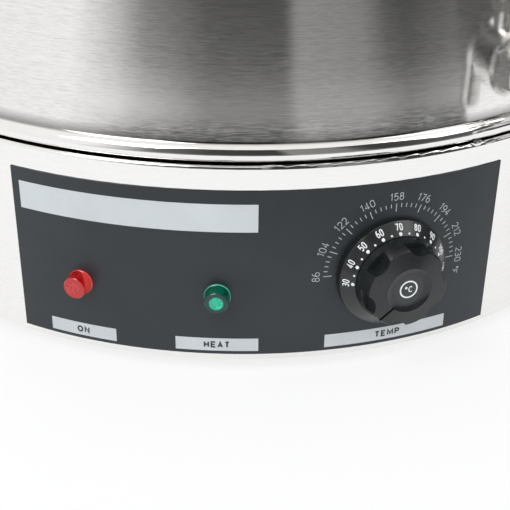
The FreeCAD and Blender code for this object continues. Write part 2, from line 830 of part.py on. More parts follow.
def heating_element():
    """Tubular element in an open ring under the plate, with two cold ends going down."""
    circle = Part.Face(Part.Wire([Part.makeCircle(element_radius, V(0, element_circle, element_z), X_OUT)]))
    circle.rotate(ORIGIN, Z_UP, element_gap_degrees / 2)
    ring = circle.revolve(ORIGIN, Z_UP, 360 - element_gap_degrees)
    pieces = [ring]
    for point in element_leg_points():
        pieces.append(Part.makeSphere(element_radius, point))
        pieces.append(cylinder(element_radius, element_leg, point - V(0, 0, element_leg)))
        pin_low = point - V(0, 0, element_leg + element_pin)
        pieces.append(cylinder(element_pin_radius, element_leg + element_pin, pin_low))
    return fuse_all(pieces)


def clamp_bar():
    """Bar that presses the element and the plate against the pot's floor."""
    bar = box((clamp_length, clamp_width, clamp_sheet), (0, 0, clamp_top_z - clamp_sheet / 2))
    return bar.cut(cylinder(stud_radius, 4 * SPARE, V(0, 0, clamp_top_z - 2 * SPARE)))


def clamp_stud():
    """Stud welded under the pot's floor."""
    length = heater_plate + 2 * element_radius + clamp_sheet + stud_nut + 1.0
    return cylinder(stud_radius, length, V(0, 0, pot_under_z - length))


def clamp_nut():
    top = clamp_top_z - clamp_sheet
    nut = hexagon(stud_nut_across, stud_nut, V(0, 0, top - stud_nut))
    return nut.cut(cylinder(stud_radius, 4 * stud_nut, V(0, 0, top - 2 * stud_nut)))


def heat_shield():
    """Dished sheet that hangs under the drum's shelf, with holes for element ends and capillary."""
    inner = shield_radius
    outer = ring_bolt_circle + 2 * vessel_bolt_head
    low = shield_top_z - shield_sheet
    rim_low = shelf_under_z - shield_sheet
    dish = turned([
        (0, low), (inner + shield_sheet, low), (inner + shield_sheet, rim_low), (outer, rim_low),
        (outer, shelf_under_z), (inner, shelf_under_z), (inner, shield_top_z), (0, shield_top_z),
    ])
    drills = vessel_bolt_holes()
    places = [(element_radius, point.x, point.y) for point in element_leg_points()]
    entry = capillary_points()[2]
    places.append((capillary_radius, entry[0], entry[1]))
    places.append((wire_radius, *cutout_wire_place()))
    for radius, x, y in places:
        drills.append(cylinder(radius + shield_hole_gap, 6 * SPARE, V(x, y, low - 3 * SPARE)))
    return dish.cut(Part.makeCompound(drills))


def at(radius, azimuth, height):
    """A point from a radius, an azimuth and a level."""
    angle = math.radians(azimuth)
    return (radius * math.sin(angle), -radius * math.cos(angle), height)


def cutout_wire_place():
    return at(cutout_circle - cutout_radius - 6, cutout_azimuth, 0)[:2]


def bulb_end():
    """The end of the sensing bulb where the capillary enters it."""
    middle = V(*at(bulb_circle, bulb_azimuth, pot_under_z - bulb_radius))
    along = V(math.cos(math.radians(bulb_azimuth)), math.sin(math.radians(bulb_azimuth)), 0)
    return middle, along


def capillary_points():
    """Route from the thermostat's rear, up through the shield, and along to the bulb."""
    middle, along = bulb_end()
    tip = middle - along * (bulb_length / 2)
    rear = thermostat_front_x() - thermostat_deep - 5
    start = at(rear, dial_azimuth, dial_height)
    first = at(rear - 16, dial_azimuth, dial_height)
    before = tip - along * 14
    low = (before.x, before.y, dial_height + 12)
    return [start, first, low, (before.x, before.y, before.z), (tip.x, tip.y, tip.z)]


def capillary_tube():
    start, first, low, high, tip = capillary_points()
    return bent_tube([start, first, low, high, tip], capillary_radius, 5.0)


def sensing_bulb():
    middle, along = bulb_end()
    return cylinder(bulb_radius, bulb_length, middle - along * (bulb_length / 2), along)


def bulb_clip():
    """Saddle strap that holds the bulb to the pot's floor."""
    reach = bulb_radius + clip_sheet
    low = pot_under_z - 2 * bulb_radius
    saddle = box((2 * reach, clip_width, 2 * bulb_radius + clip_sheet),
                 (0, 0, low - clip_sheet / 2 + bulb_radius))
    inside = box((2 * bulb_radius, 2 * clip_width, 4 * bulb_radius), (0, 0, low + 2 * bulb_radius))
    ears = box((4 * reach, clip_width, clip_sheet), (0, 0, pot_under_z - clip_sheet / 2))
    clip = saddle.fuse(ears).removeSplitter().cut(inside)
    clip.rotate(ORIGIN, Z_UP, bulb_azimuth - 90)
    clip.translate(V(*at(bulb_circle, bulb_azimuth, 0)))
    return clip


def thermal_cutout():
    """Disc thermostat on the pot's floor, with its flange and two tabs."""
    disc = cylinder(cutout_radius, cutout_height, V(0, 0, pot_under_z - cutout_height))
    flange = box((10, 3.2 * cutout_radius, 1), (0, 0, pot_under_z - 0.5))
    tabs = [box((6.3, 0.8, 7), (0, side * 6, pot_under_z - cutout_height - 3.5)) for side in (-1, 1)]
    unit = fuse_all([disc, flange] + tabs)
    unit.rotate(ORIGIN, Z_UP, cutout_azimuth - 90)
    unit.translate(V(*at(cutout_circle, cutout_azimuth, 0)))
    return unit


def terminal_block():
    """Insulating block on the base plate with a screw well over each way."""
    length, depth, height = block_size
    block = box(block_size, (block_place[0], block_place[1], plate_top_z + height / 2))
    pitch = length / block_ways
    wells = []
    for way in range(block_ways):
        x = block_place[0] - length / 2 + pitch * (way + 0.5)
        wells.append(cylinder(pitch * 0.28, height, V(x, block_place[1], plate_top_z + height * 0.6)))
    return block.cut(Part.makeCompound(wells))


def earth_stud():
    """Threaded stud with a nut above and a head below the base plate."""
    x, y = earth_place
    head = hexagon(3.2 * earth_radius, 3, V(x, y, plate_low_z - 3))
    shank = cylinder(earth_radius, earth_height, V(x, y, plate_low_z))
    nut = hexagon(3.2 * earth_radius, 4, V(x, y, plate_top_z))
    washer = cylinder(2 * earth_radius, 1, V(x, y, plate_top_z + 4))
    return fuse_all([head, shank, nut, washer])


def block_way(way):
    """The rear entry of one way of the terminal block, facing the panel."""
    pitch = block_size[0] / block_ways
    return (block_place[0] - block_size[0] / 2 + pitch * (way + 0.5), block_place[1] - block_size[1] / 2,
            plate_top_z + block_size[2] * 0.35)


def lamp_tab(azimuth, side):
    """The end of one blade tab of a lamp."""
    angle = math.radians(azimuth)
    x, y, z = at(panel_radius - barrel_length - lamp_tab_length, azimuth, lamp_height)
    step = side * lamp_tab_step
    return (x + step * math.cos(angle), y + step * math.sin(angle), z)


def thermostat_tab(side):
    angle = math.radians(dial_azimuth)
    x, y, z = at(thermostat_front_x() - thermostat_deep - 9, dial_azimuth, dial_height - 14)
    return (x + side * 15.5 * math.cos(angle), y + side * 15.5 * math.sin(angle), z)


def internal_wires():
    """Single wires between terminal block, thermostat, cut-out, element and lamps."""
    run = wire_run
    left_leg = element_leg_points()[0]
    leg_end = element_z - element_leg - element_pin
    routes = []
    tab = thermostat_tab(1)
    way = block_way(3)
    side_x = tab[0] - 2 * wire_side_step
    routes.append([tab, (side_x, tab[1] + run, tab[2]), (side_x, tab[1] + 1.6 * run, way[2]),
                   (way[0], way[1] - run, way[2]), way])
    way = block_way(0)
    routes.append([(left_leg.x, left_leg.y, leg_end), (left_leg.x, left_leg.y, way[2] + 0.6 * run),
                   (way[0], way[1] - 0.8 * run, way[2]), way])
    tab = thermostat_tab(-1)
    place = cutout_wire_place()
    routes.append([tab, (tab[0] - 3 * wire_side_step, tab[1] + 1.1 * run, tab[2]),
                   (place[0], place[1], tab[2] + wire_side_step),
                   (place[0], place[1], pot_under_z - cutout_height - 1)])
    lamp_ways = ((power_lamp_azimuth, 1, 2), (working_lamp_azimuth, 2, 1))
    for azimuth, number, steps in lamp_ways:
        tab = lamp_tab(azimuth, 1)
        way = block_way(number)
        routes.append([tab, (tab[0] + steps * wire_side_step, tab[1] + run, tab[2]),
                       (tab[0] + 2 * steps * wire_side_step, tab[1] + 2 * run, way[2]),
                       (way[0], way[1] - 1.1 * run, way[2]), way])
    return Part.makeCompound([bent_tube(route, wire_radius, wire_bend) for route in routes])


def cable_gland():
    """Rear inlet for the mains lead: collar outside the drum and a threaded barrel through it."""
    collar = hexagon(gland_across, gland_collar, V(shell_radius, 0, 0), X_OUT)
    barrel = cylinder(gland_thread_radius, gland_barrel, V(shell_radius - gland_barrel, 0, 0), X_OUT)
    neck = cylinder(gland_thread_radius, gland_cap_length * 0.6, V(shell_radius + gland_collar, 0, 0), X_OUT)
    backing = cylinder(gland_across / 2 + 1, 2, V(shell_radius - 0.6, 0, 0), X_OUT)
    gland = fuse_all([collar, barrel, neck, backing])
    gland = gland.cut(cylinder(gland_bore, 20 * SPARE, V(shell_radius - 8 * SPARE, 0, 0), X_OUT))
    drum = cylinder(shell_radius, 8 * SPARE, V(0, 0, -4 * SPARE))
    outside = gland.cut(drum)
    inside = gland.common(cylinder(gland_thread_radius, 20 * SPARE, V(shell_radius - 8 * SPARE, 0, 0), X_OUT))
    return outside.fuse(inside).removeSplitter()


def gland_cap():
    """Domed cap over the gland's neck."""
    low = shell_radius + gland_collar
    high = low + gland_cap_length
    cap = turned([
        (gland_thread_radius, low), (gland_cap_radius, low),
        (gland_cap_radius, low + gland_cap_length * 0.55),
        ((gland_cap_radius * 0.86, low + gland_cap_length * 0.86), (gland_bore + 1.6, high)),
        (gland_bore, high), (gland_bore, low + gland_cap_length * 0.6),
        (gland_thread_radius, low + gland_cap_length * 0.6),
    ], ORIGIN, X_OUT)
    return cap


def gland_lock_nut():
    reach = gland_across / math.sqrt(3)
    sagitta = shell_inner - math.sqrt(shell_inner ** 2 - reach ** 2)
    start = V(shell_inner - sagitta - gland_nut, 0, 0)
    nut = hexagon(gland_across, gland_nut, start, X_OUT)
    return nut.cut(cylinder(gland_thread_radius, 4 * gland_nut, start - X_OUT * gland_nut, X_OUT))


def vertical_cylinder(radius):
    """A tall cylinder on the vessel's axis, used to fit flat washers to curved walls."""
    return cylinder(radius, 2 * vessel_top, V(0, 0, -vessel_top))


def tap_gasket():
    """Rubber washer between the curved wall and the tap's flat lock nut."""
    length = tap_gasket_thickness + SPARE
    ring = tube(tap_gasket_radius, tap_tube_radius, length, V(tap_nut_x - length, 0, 0), X_OUT)
    return ring.cut(vertical_cylinder(wall_radius))


def tap_lock_nut():
    """Nut on the spigot that presses the gasket against the vessel's wall."""
    nut = hexagon(tap_nut_across, tap_nut, V(tap_nut_x, 0, 0), X_OUT)
    return nut.cut(cylinder(tap_tube_radius, 4 * tap_nut, V(tap_nut_x - tap_nut, 0, 0), X_OUT))


def pot_cavity():
    """The space inside the pot, with its rounded floor corner, on the tap's level."""
    s = 1 - math.sqrt(0.5)
    space = turned([
        (0, pot_floor), (pot_radius - pot_corner, pot_floor),
        ((pot_radius - pot_corner * s, pot_floor + pot_corner * s), (pot_radius, pot_floor + pot_corner)),
        (pot_radius, vessel_top), (0, vessel_top),
    ])
    space.translate(V(0, 0, -tap_height))
    return space


def tap_spigot():
    """Tube welded into the pot's wall, flush inside, that carries the lock nut and the valve."""
    start = pot_radius - pot_corner - SPARE
    end = housing_x - 1
    pipe = cylinder(tap_tube_radius, end - start, V(start, 0, 0), X_OUT)
    pipe = pipe.cut(cylinder(tap_bore, 20 * SPARE, V(start - SPARE, 0, 0), X_OUT))
    return pipe.cut(pot_cavity())


def valve_body():
    """Ball valve housing along +X, with collars for spigot and spout and a boss for the stem."""
    collar = hexagon(tap_nut_across, valve_collar, V(valve_x, 0, 0), X_OUT)
    housing = turned([
        (0, housing_x), (valve_housing_radius - 2, housing_x), (valve_housing_radius, housing_x + 2),
        (valve_housing_radius, outlet_x - 2), (valve_housing_radius - 2, outlet_x), (0, outlet_x),
    ], ORIGIN, X_OUT)
    outlet = hexagon(tap_nut_across * 0.9, valve_outlet, V(outlet_x, 0, 0), X_OUT)
    boss = cylinder(stem_boss_radius, stem_boss_top, V(ball_x, 0, 0))
    body = fuse_all([collar, housing, outlet, boss])
    cuts = [
        cylinder(tap_tube_radius, valve_collar - 1, V(valve_x, 0, 0), X_OUT),
        cylinder(tap_bore, valve_housing + 2 * SPARE, V(valve_x + valve_collar - 2, 0, 0), X_OUT),
        cylinder(ball_radius + ball_gap, valve_housing - 2, V(housing_x + 1, 0, 0), X_OUT),
        cylinder(spout_radius, valve_outlet, V(outlet_x + 1, 0, 0), X_OUT),
        cylinder(stem_radius + stem_clearance, 2 * stem_boss_top, V(ball_x, 0, 0)),
    ]
    return body.cut(Part.makeCompound(cuts))


def valve_seats():
    """Two rings beside the ball, hollowed to its curve."""
    outer = ball_radius + ball_gap
    half = valve_housing / 2 - 1
    ball = Part.makeSphere(outer, V(ball_x, 0, 0))
    seats = []
    for side in (-1, 1):
        start = ball_x + half - seat_length if side > 0 else ball_x - half
        ring = tube(outer, tap_bore, seat_length, V(start, 0, 0), X_OUT)
        seats.append(ring.cut(ball))
    return Part.makeCompound(seats)


def packing_nut_ring():
    nut = hexagon(packing_nut_across, packing_nut, V(ball_x, 0, stem_boss_top))
    drill = cylinder(stem_radius + stem_clearance, 3 * packing_nut, V(ball_x, 0, stem_boss_top - packing_nut))
    return nut.cut(drill)


def valve_ball():
    """Ball with its bore across the pipe: the valve is closed. A slot on top takes the stem."""
    ball = Part.makeSphere(ball_radius, V(ball_x, 0, 0))
    bore = cylinder(ball_bore, 4 * ball_radius, V(ball_x, -2 * ball_radius, 0), V(0, 1, 0))
    slot = box((tongue_width + 2 * tongue_gap, 2 * ball_radius, 2 * tongue_depth), (ball_x, 0, ball_radius))
    return ball.cut(bore).cut(slot)


def valve_stem():
    """Stem from the ball's slot up through the packing nut to the lever's nut."""
    top = stem_boss_top + packing_nut + lever_gap + lever_sheet + lever_nut
    tongue_low = ball_radius - tongue_depth + tongue_gap
    shoulder = ball_radius + ball_gap
    stem = cylinder(stem_radius, top - shoulder, V(ball_x, 0, shoulder))
    tongue_size = (tongue_width, tongue_length, shoulder - tongue_low)
    tongue = box(tongue_size, (ball_x, 0, (shoulder + tongue_low) / 2))
    tongue = tongue.common(cylinder(stem_radius, 4 * ball_radius, V(ball_x, 0, 0)))
    return stem.fuse(tongue).removeSplitter()


def lever_low_z():
    return stem_boss_top + packing_nut + lever_gap


def lever_profile(reach_to):
    """The cranked lever's side view, from the stem outwards along +Y, as a face."""
    low = lever_low_z()
    high = low + lever_rise
    under = [(0, low), (lever_flat, low), (lever_flat + lever_slope, high), (reach_to, high)]
    over = [(y, z + lever_sheet) for y, z in reversed(under)]
    points = [V(0, y, z) for y, z in under + over]
    return Part.Face(Part.makePolygon(points + [points[0]]))


def valve_lever():
    """Cranked lever that lies along the wall when the valve is closed."""
    low = lever_low_z()
    tall = 4 * lever_rise
    arm = lever_profile(lever_reach).extrude(V(lever_width, 0, 0))
    arm.translate(V(ball_x - lever_width / 2, 0, 0))
    hub = cylinder(lever_width / 2 + 2, lever_sheet, V(ball_x, 0, low))
    tip = cylinder(lever_width / 2, tall, V(ball_x, lever_reach - lever_width / 2, low))
    blank = box((lever_width, lever_reach, tall), (ball_x, lever_reach / 2 - lever_width / 2, low + tall / 2))
    arm = arm.common(blank.fuse(tip))
    return fuse_all([arm, hub]).cut(cylinder(stem_radius, tall, V(ball_x, 0, low - SPARE)))


def lever_sleeve():
    """Dipped sleeve on the lever's outer half, open towards the stem."""
    start = lever_reach - sleeve_length
    end = lever_reach + sleeve_wall
    tall = lever_sheet + 2 * sleeve_wall
    wide = lever_width + 2 * sleeve_wall
    middle_z = lever_low_z() + lever_rise + lever_sheet / 2
    blank = box((wide, end - start, tall), (ball_x, (start + end) / 2, middle_z))
    blank = blank.makeFillet(min(tall, wide) * 0.3, blank.Edges)
    return blank.cut(valve_lever())


def lever_nut_ring():
    low = lever_low_z() + lever_sheet
    nut = hexagon(lever_nut_across, lever_nut, V(ball_x, 0, low))
    return nut.cut(cylinder(stem_radius, 4 * lever_nut, V(ball_x, 0, low - lever_nut)))


def tap_spout():
    """Outlet pipe that turns down through a quarter bend."""
    start = outlet_x + 1
    bend_x = spout_x + spout_straight
    centre = V(bend_x, 0, -spout_bend)
    pieces = []
    for radius in (spout_radius, spout_bore):
        straight = cylinder(radius, bend_x - start, V(start, 0, 0), X_OUT)
        circle = Part.Face(Part.Wire([Part.makeCircle(radius, V(bend_x, 0, 0), X_OUT)]))
        bend = circle.revolve(centre, V(0, 1, 0), 90)
        drop = cylinder(radius, spout_drop, V(bend_x + spout_bend, 0, -spout_bend - spout_drop))
        pieces.append(fuse_all([straight, bend, drop]))
    return pieces[0].cut(pieces[1])


def handle_rod():
    """Bent rod handle on the +X side, cut to the faces of its plates."""
    half = handle_span / 2
    points = [(wall_radius - 3 * SPARE, -half, 0), (handle_reach, -half, 0), (handle_reach, half, 0),
              (wall_radius - 3 * SPARE, half, 0)]
    rod = bent_tube(points, handle_rod_radius, handle_bend)
    return rod.cut(vertical_cylinder(wall_radius + handle_plate))


def handle_plates():
    """Four plates that carry the handles' ends."""
    plates = [curved_plate(wall_radius, wall_radius + handle_plate, handle_plate_width, handle_plate_height,
                           azimuth, handle_height) for azimuth in handle_places()]
    holes = Part.makeCompound(rivet_holes())
    return Part.makeCompound([plate.cut(holes) for plate in plates])


def handle_rivets():
    """Two domed rivets through each handle plate."""
    outer = wall_radius + handle_plate
    seat = wall_inner - rivet_seat_gap
    rivet = turned([
        (0, seat - rivet_tail), (rivet_head * 0.8, seat - rivet_tail), (rivet_head * 0.8, seat),
        (rivet_radius, seat), (rivet_radius, outer), (rivet_head, outer),
        dome_arc(rivet_head, outer, rivet_dome),
    ], ORIGIN, X_OUT)
    return Part.makeCompound([to_azimuth(rivet, azimuth, handle_height + side * rivet_pitch / 2)
                              for azimuth in handle_places() for side in (-1, 1)])


def lid_low_z():
    return rim_top_z + lid_seat_gap


def lid_top_z():
    return lid_low_z() + lid_sheet + lid_dome


def lid_shell():
    """Domed lid: rolled hem, flat rim on the pot's rim, skirt inside the pot's mouth and a shallow dome."""
    low = lid_low_z()
    skirt_out = pot_radius - lid_skirt_gap
    skirt_in = skirt_out - lid_sheet
    hole = lid_screw_radius
    inner_end, inner_start = dome_arc(skirt_in, low, lid_dome, hole)[::-1]
    shell = turned([
        (skirt_out, low), (lid_radius, low), (lid_radius, low + lid_sheet), (skirt_out, low + lid_sheet),
        dome_arc(skirt_out, low + lid_sheet, lid_dome, hole),
        inner_end, (inner_start, (skirt_in, low)),
        (skirt_in, low - lid_skirt), (skirt_out, low - lid_skirt),
    ])
    hem = Part.makeTorus(lid_radius, lid_hem_radius, V(0, 0, low + lid_hem_radius))
    return fuse_all([shell, hem])


def lid_knob_turned():
    """Mushroom knob on the lid, with a bore for its screw."""
    base = lid_top_z()
    cap_low = base + lid_knob_height * 0.62
    cap_high = base + lid_knob_height * 0.84
    soft = lid_knob_height * 0.18
    knob = turned([
        (0, base), (lid_knob_neck + 2, base), (lid_knob_neck, base + 4), (lid_knob_neck, base + 9),
        ((lid_knob_radius * 0.75, base + lid_knob_height * 0.44), (lid_knob_radius, cap_low)),
        ((lid_knob_radius - soft * 0.15, (cap_low + cap_high) / 2), (lid_knob_radius - soft * 0.6, cap_high)),
        dome_arc(lid_knob_radius - soft * 0.6, cap_high, base + lid_knob_height - cap_high),
    ])
    return knob.cut(cylinder(lid_screw_radius, lid_knob_height * 0.6, V(0, 0, base)))


def lid_screw():
    """Screw from under the lid into its knob."""
    under = lid_top_z() - lid_sheet
    length = lid_sheet + lid_knob_height * 0.55
    shank = cylinder(lid_screw_radius, length, V(0, 0, under))
    head = cylinder(lid_screw_head, 2.4, V(0, 0, under - 2.4))
    return shank.fuse(head).removeSplitter()


def build_parts():
    """Every node's name and shape."""
    parts = {
        "base_shell": base_shell(),
        "base_plate": base_plate(),
        "base_plate_screws": base_plate_screws(),
        "rubber_feet": rubber_feet(),
        "foot_screws": foot_screws(),
        "control_panel": control_panel(),
        "label_strips": label_strips(),
        "dial_ring": to_azimuth(dial_ring(), dial_azimuth, dial_height),
        "knob_grip": to_azimuth(knob_grip(), dial_azimuth, dial_height),
        "knob_cap": to_azimuth(knob_cap(), dial_azimuth, dial_height),
        "thermostat_body": to_azimuth(thermostat_body(), dial_azimuth, dial_height),
        "thermostat_shaft": to_azimuth(thermostat_shaft(), dial_azimuth, dial_height),
        "thermostat_screws": to_azimuth(thermostat_screws(), dial_azimuth, dial_height),
        "capillary_tube": capillary_tube(),
        "sensing_bulb": sensing_bulb(),
        "bulb_clip": bulb_clip(),
        "thermal_cutout": thermal_cutout(),
        "bead_ring": bead_ring(),
        "tack_welds": tack_welds(),
        "vessel_bolts": vessel_bolts(),
        "vessel_wall": vessel_wall(),
        "inner_pot": inner_pot(),
        "jacket_wool": jacket_wool(),
        "heating_plate": heating_plate(),
        "heating_element": heating_element(),
        "clamp_bar": clamp_bar(),
        "clamp_nut": clamp_nut(),
        "heat_shield": heat_shield(),
        "terminal_block": terminal_block(),
        "earth_stud": earth_stud(),
        "internal_wires": internal_wires(),
        "handle_plates": handle_plates(),
        "handle_rivets": handle_rivets(),
        "lid_shell": lid_shell(),
        "lid_knob": lid_knob_turned(),
        "lid_screw": lid_screw(),
    }
    lamps = {"power_lamp_lens": power_lamp_azimuth, "working_lamp_lens": working_lamp_azimuth}
    for name, azimuth in lamps.items():
        parts[name] = to_azimuth(lamp_lens(), azimuth, lamp_height)
    for name, shape in (("lamp_holders", lamp_holder()), ("lamp_nuts", lamp_nut_ring())):
        pair = [to_azimuth(shape, azimuth, lamp_height) for azimuth in lamps.values()]
        parts[name] = Part.makeCompound(pair)
    for name, shape in (("cable_gland", cable_gland()), ("gland_cap", gland_cap()),
                        ("gland_lock_nut", gland_lock_nut())):
        parts[name] = to_azimuth(shape, 180, gland_height)
    for name, azimuth in (("handle_right", 90), ("handle_left", 270)):
        parts[name] = to_azimuth(handle_rod(), azimuth, handle_height)
    tap = {
        "tap_gasket": tap_gasket(), "tap_lock_nut": tap_lock_nut(), "tap_spigot": tap_spigot(),
        "valve_body": valve_body(),
        "valve_seats": valve_seats(), "packing_nut": packing_nut_ring(), "tap_spout": tap_spout(),
        "valve_ball": valve_ball(), "valve_stem": valve_stem(), "valve_lever": valve_lever(),
        "lever_sleeve": lever_sleeve(), "lever_nut": lever_nut_ring(),
    }
    for name, shape in tap.items():
        parts[name] = to_azimuth(shape, tap_azimuth, tap_height)
    return parts


os.makedirs("parts", exist_ok=True)
for node, shape in build_parts().items():
    shape.exportStep("parts/" + node + ".step")
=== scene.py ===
import json
import math

import bmesh
import bpy
from mathutils import Matrix, Vector


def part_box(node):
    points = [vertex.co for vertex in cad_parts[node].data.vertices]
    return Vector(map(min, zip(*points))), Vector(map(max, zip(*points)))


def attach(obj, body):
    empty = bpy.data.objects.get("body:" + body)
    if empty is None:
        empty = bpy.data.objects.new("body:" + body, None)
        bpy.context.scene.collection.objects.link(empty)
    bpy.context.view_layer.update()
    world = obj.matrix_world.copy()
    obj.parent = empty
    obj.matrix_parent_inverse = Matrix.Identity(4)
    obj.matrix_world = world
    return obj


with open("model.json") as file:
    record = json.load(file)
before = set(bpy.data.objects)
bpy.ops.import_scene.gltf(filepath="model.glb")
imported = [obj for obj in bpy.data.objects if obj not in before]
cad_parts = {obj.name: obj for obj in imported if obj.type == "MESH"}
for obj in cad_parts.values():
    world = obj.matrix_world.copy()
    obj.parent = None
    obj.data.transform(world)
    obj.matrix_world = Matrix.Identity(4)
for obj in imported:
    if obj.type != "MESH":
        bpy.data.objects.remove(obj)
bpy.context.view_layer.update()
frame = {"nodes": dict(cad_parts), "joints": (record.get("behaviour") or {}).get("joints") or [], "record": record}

# Looks of an electric wax melting vessel. Lengths are in metres. An azimuth is counted in radians from -Y,
# where the control panel faces, towards +X. An angle on the dial is counted clockwise from its top.
MM = 0.001


# Where things are, read from the frame

def joint(name):
    """The frame's joint of that name."""
    return next(j for j in frame["joints"] if j["name"] == name)


def azimuth_of(point):
    """Azimuth of a point about the vessel's axis."""
    return math.atan2(point[0], -point[1])


def reach_of(node):
    """Largest distance of a node's vertices from the vessel's axis."""
    return max(math.hypot(v.co.x, v.co.y) for v in frame["nodes"][node].data.vertices)


def turned_profile(node, centre, axis):
    """Distance from an axis and height along it, for each vertex of a turned node."""
    found = []
    for v in frame["nodes"][node].data.vertices:
        along = (v.co - centre).dot(axis)
        found.append(((v.co - centre - along * axis).length, along))
    return found


knob_hub = Vector(joint("knob_turn")["pos_m"])
knob_out = -Vector(joint("knob_turn")["axis"])
dial_azimuth = azimuth_of(knob_hub)
dial_z = knob_hub.z
panel_face = reach_of("control_panel")
strip_face = reach_of("label_strips")

ring_profile = turned_profile("dial_ring", Vector((0, 0, dial_z)), knob_out)
EDGE_TOLERANCE = 0.8 * MM
ring_top = max(h for r, h in ring_profile)
ring_top_radius = max(r for r, h in ring_profile if h > ring_top - 0.1 * MM)
ring_radius = max(r for r, h in ring_profile)
ring_rim = max(h for r, h in ring_profile if r > ring_radius - EDGE_TOLERANCE)
cap_profile = turned_profile("knob_cap", Vector((0, 0, dial_z)), knob_out)
cap_top = max(h for r, h in cap_profile)


# Shader node helpers

def new_material(name):
    """An empty node material with its Principled shader and its node maker."""
    material = bpy.data.materials.new(name)
    material.use_nodes = True
    tree = material.node_tree
    tree.nodes.clear()
    output = tree.nodes.new("ShaderNodeOutputMaterial")
    shader = tree.nodes.new("ShaderNodeBsdfPrincipled")
    tree.links.new(shader.outputs[0], output.inputs[0])
    return material, shader


def node(tree, kind, **settings):
    """A node with its settings, and its inputs set from values or linked from sockets."""
    made = tree.nodes.new(kind)
    inputs = settings.pop("inputs", {})
    for name, value in settings.items():
        setattr(made, name, value)
    for name, value in inputs.items():
        socket = made.inputs[name]
        if isinstance(value, bpy.types.NodeSocket):
            tree.links.new(value, socket)
        else:
            socket.default_value = value
    return made


def math_node(tree, operation, first, second=0.0):
    """Result of a math node."""
    return node(tree, "ShaderNodeMath", operation=operation, inputs={0: first, 1: second}).outputs[0]


def object_point(tree):
    """The point on the object in its own frame."""
    return node(tree, "ShaderNodeTexCoord").outputs["Object"]


def noise(tree, vector, scale, detail=3.0, roughness=0.5, distortion=0.0):
    """Value of a noise texture."""
    return node(tree, "ShaderNodeTexNoise", inputs={
        "Vector": vector, "Scale": scale, "Detail": detail,
        "Roughness": roughness, "Distortion": distortion}).outputs[0]


def stretched(tree, vector, scale):
    """A vector with each of its parts multiplied."""
    return node(tree, "ShaderNodeVectorMath", operation="MULTIPLY",
                inputs={0: vector, 1: scale}).outputs[0]


def ramp(tree, value, stops):
    """A colour ramp over (place, colour) stops."""
    made = node(tree, "ShaderNodeValToRGB", inputs={0: value})
    elements = made.color_ramp.elements
    while len(elements) < len(stops):
        elements.new(0.5)
    for element, (place, colour) in zip(elements, stops):
        element.position = place
        element.color = (*colour, 1.0)
    return made.outputs[0]


def between(tree, value, low, high, start=0.0, end=1.0):
    """A value taken from one range to another and clamped."""
    return node(tree, "ShaderNodeMapRange", inputs={
        "Value": value, "From Min": start, "From Max": end,
        "To Min": low, "To Max": high}).outputs[0]


# Numbers of a mix node's sockets for its share and its two colours, and of its colour result.
MIX_SHARE, MIX_FIRST, MIX_SECOND, MIX_RESULT = 0, 6, 7, 2


def mixed(tree, share, first, second):
    """Two colours mixed by a share."""
    made = tree.nodes.new("ShaderNodeMix")
    made.data_type = "RGBA"
    for index, value in ((MIX_SHARE, share), (MIX_FIRST, first), (MIX_SECOND, second)):
        socket = made.inputs[index]
        if isinstance(value, bpy.types.NodeSocket):
            tree.links.new(value, socket)
        elif index == MIX_SHARE:
            socket.default_value = value
        else:
            socket.default_value = (*value, 1.0)
    return made.outputs[MIX_RESULT]


def bump(tree, shader, height, strength, distance):
    """Bump from a height, linked to the shader."""
    made = node(tree, "ShaderNodeBump", inputs={"Height": height, "Strength": strength, "Distance": distance})
    tree.links.new(made.outputs[0], shader.inputs["Normal"])


def shaded(value, factor):
    """A colour made darker or lighter."""
    return tuple(min(1.0, part * factor) for part in value)


def output_of(tree):
    """A material's output node."""
    return next(n for n in tree.nodes if n.type == "OUTPUT_MATERIAL")


def point_parts(tree):
    """The three parts of the point on the object."""
    return node(tree, "ShaderNodeSeparateXYZ", inputs={0: object_point(tree)}).outputs


def from_the_axis(tree, x, y):
    """Distance from the vessel's axis."""
    square = math_node(tree, "ADD", math_node(tree, "MULTIPLY", x, x), math_node(tree, "MULTIPLY", y, y))
    return math_node(tree, "SQRT", square)


def round_the_axis(tree):
    """Coordinates whose third part runs up walls and outwards over flat tops, in metres."""
    x, y, z = point_parts(tree)
    across = math_node(tree, "ADD", from_the_axis(tree, x, y), z)
    return node(tree, "ShaderNodeCombineXYZ", inputs={0: x, 1: y, 2: across}).outputs[0]


# Materials

# Painted shade at the wall's foot, a darker band standing in for a dark reflection: its height over the wall's
# lower edge, and the height over which it fades.
PAINTED_SHADE_RISE = 9 * MM
PAINTED_SHADE_FADE = 5 * MM


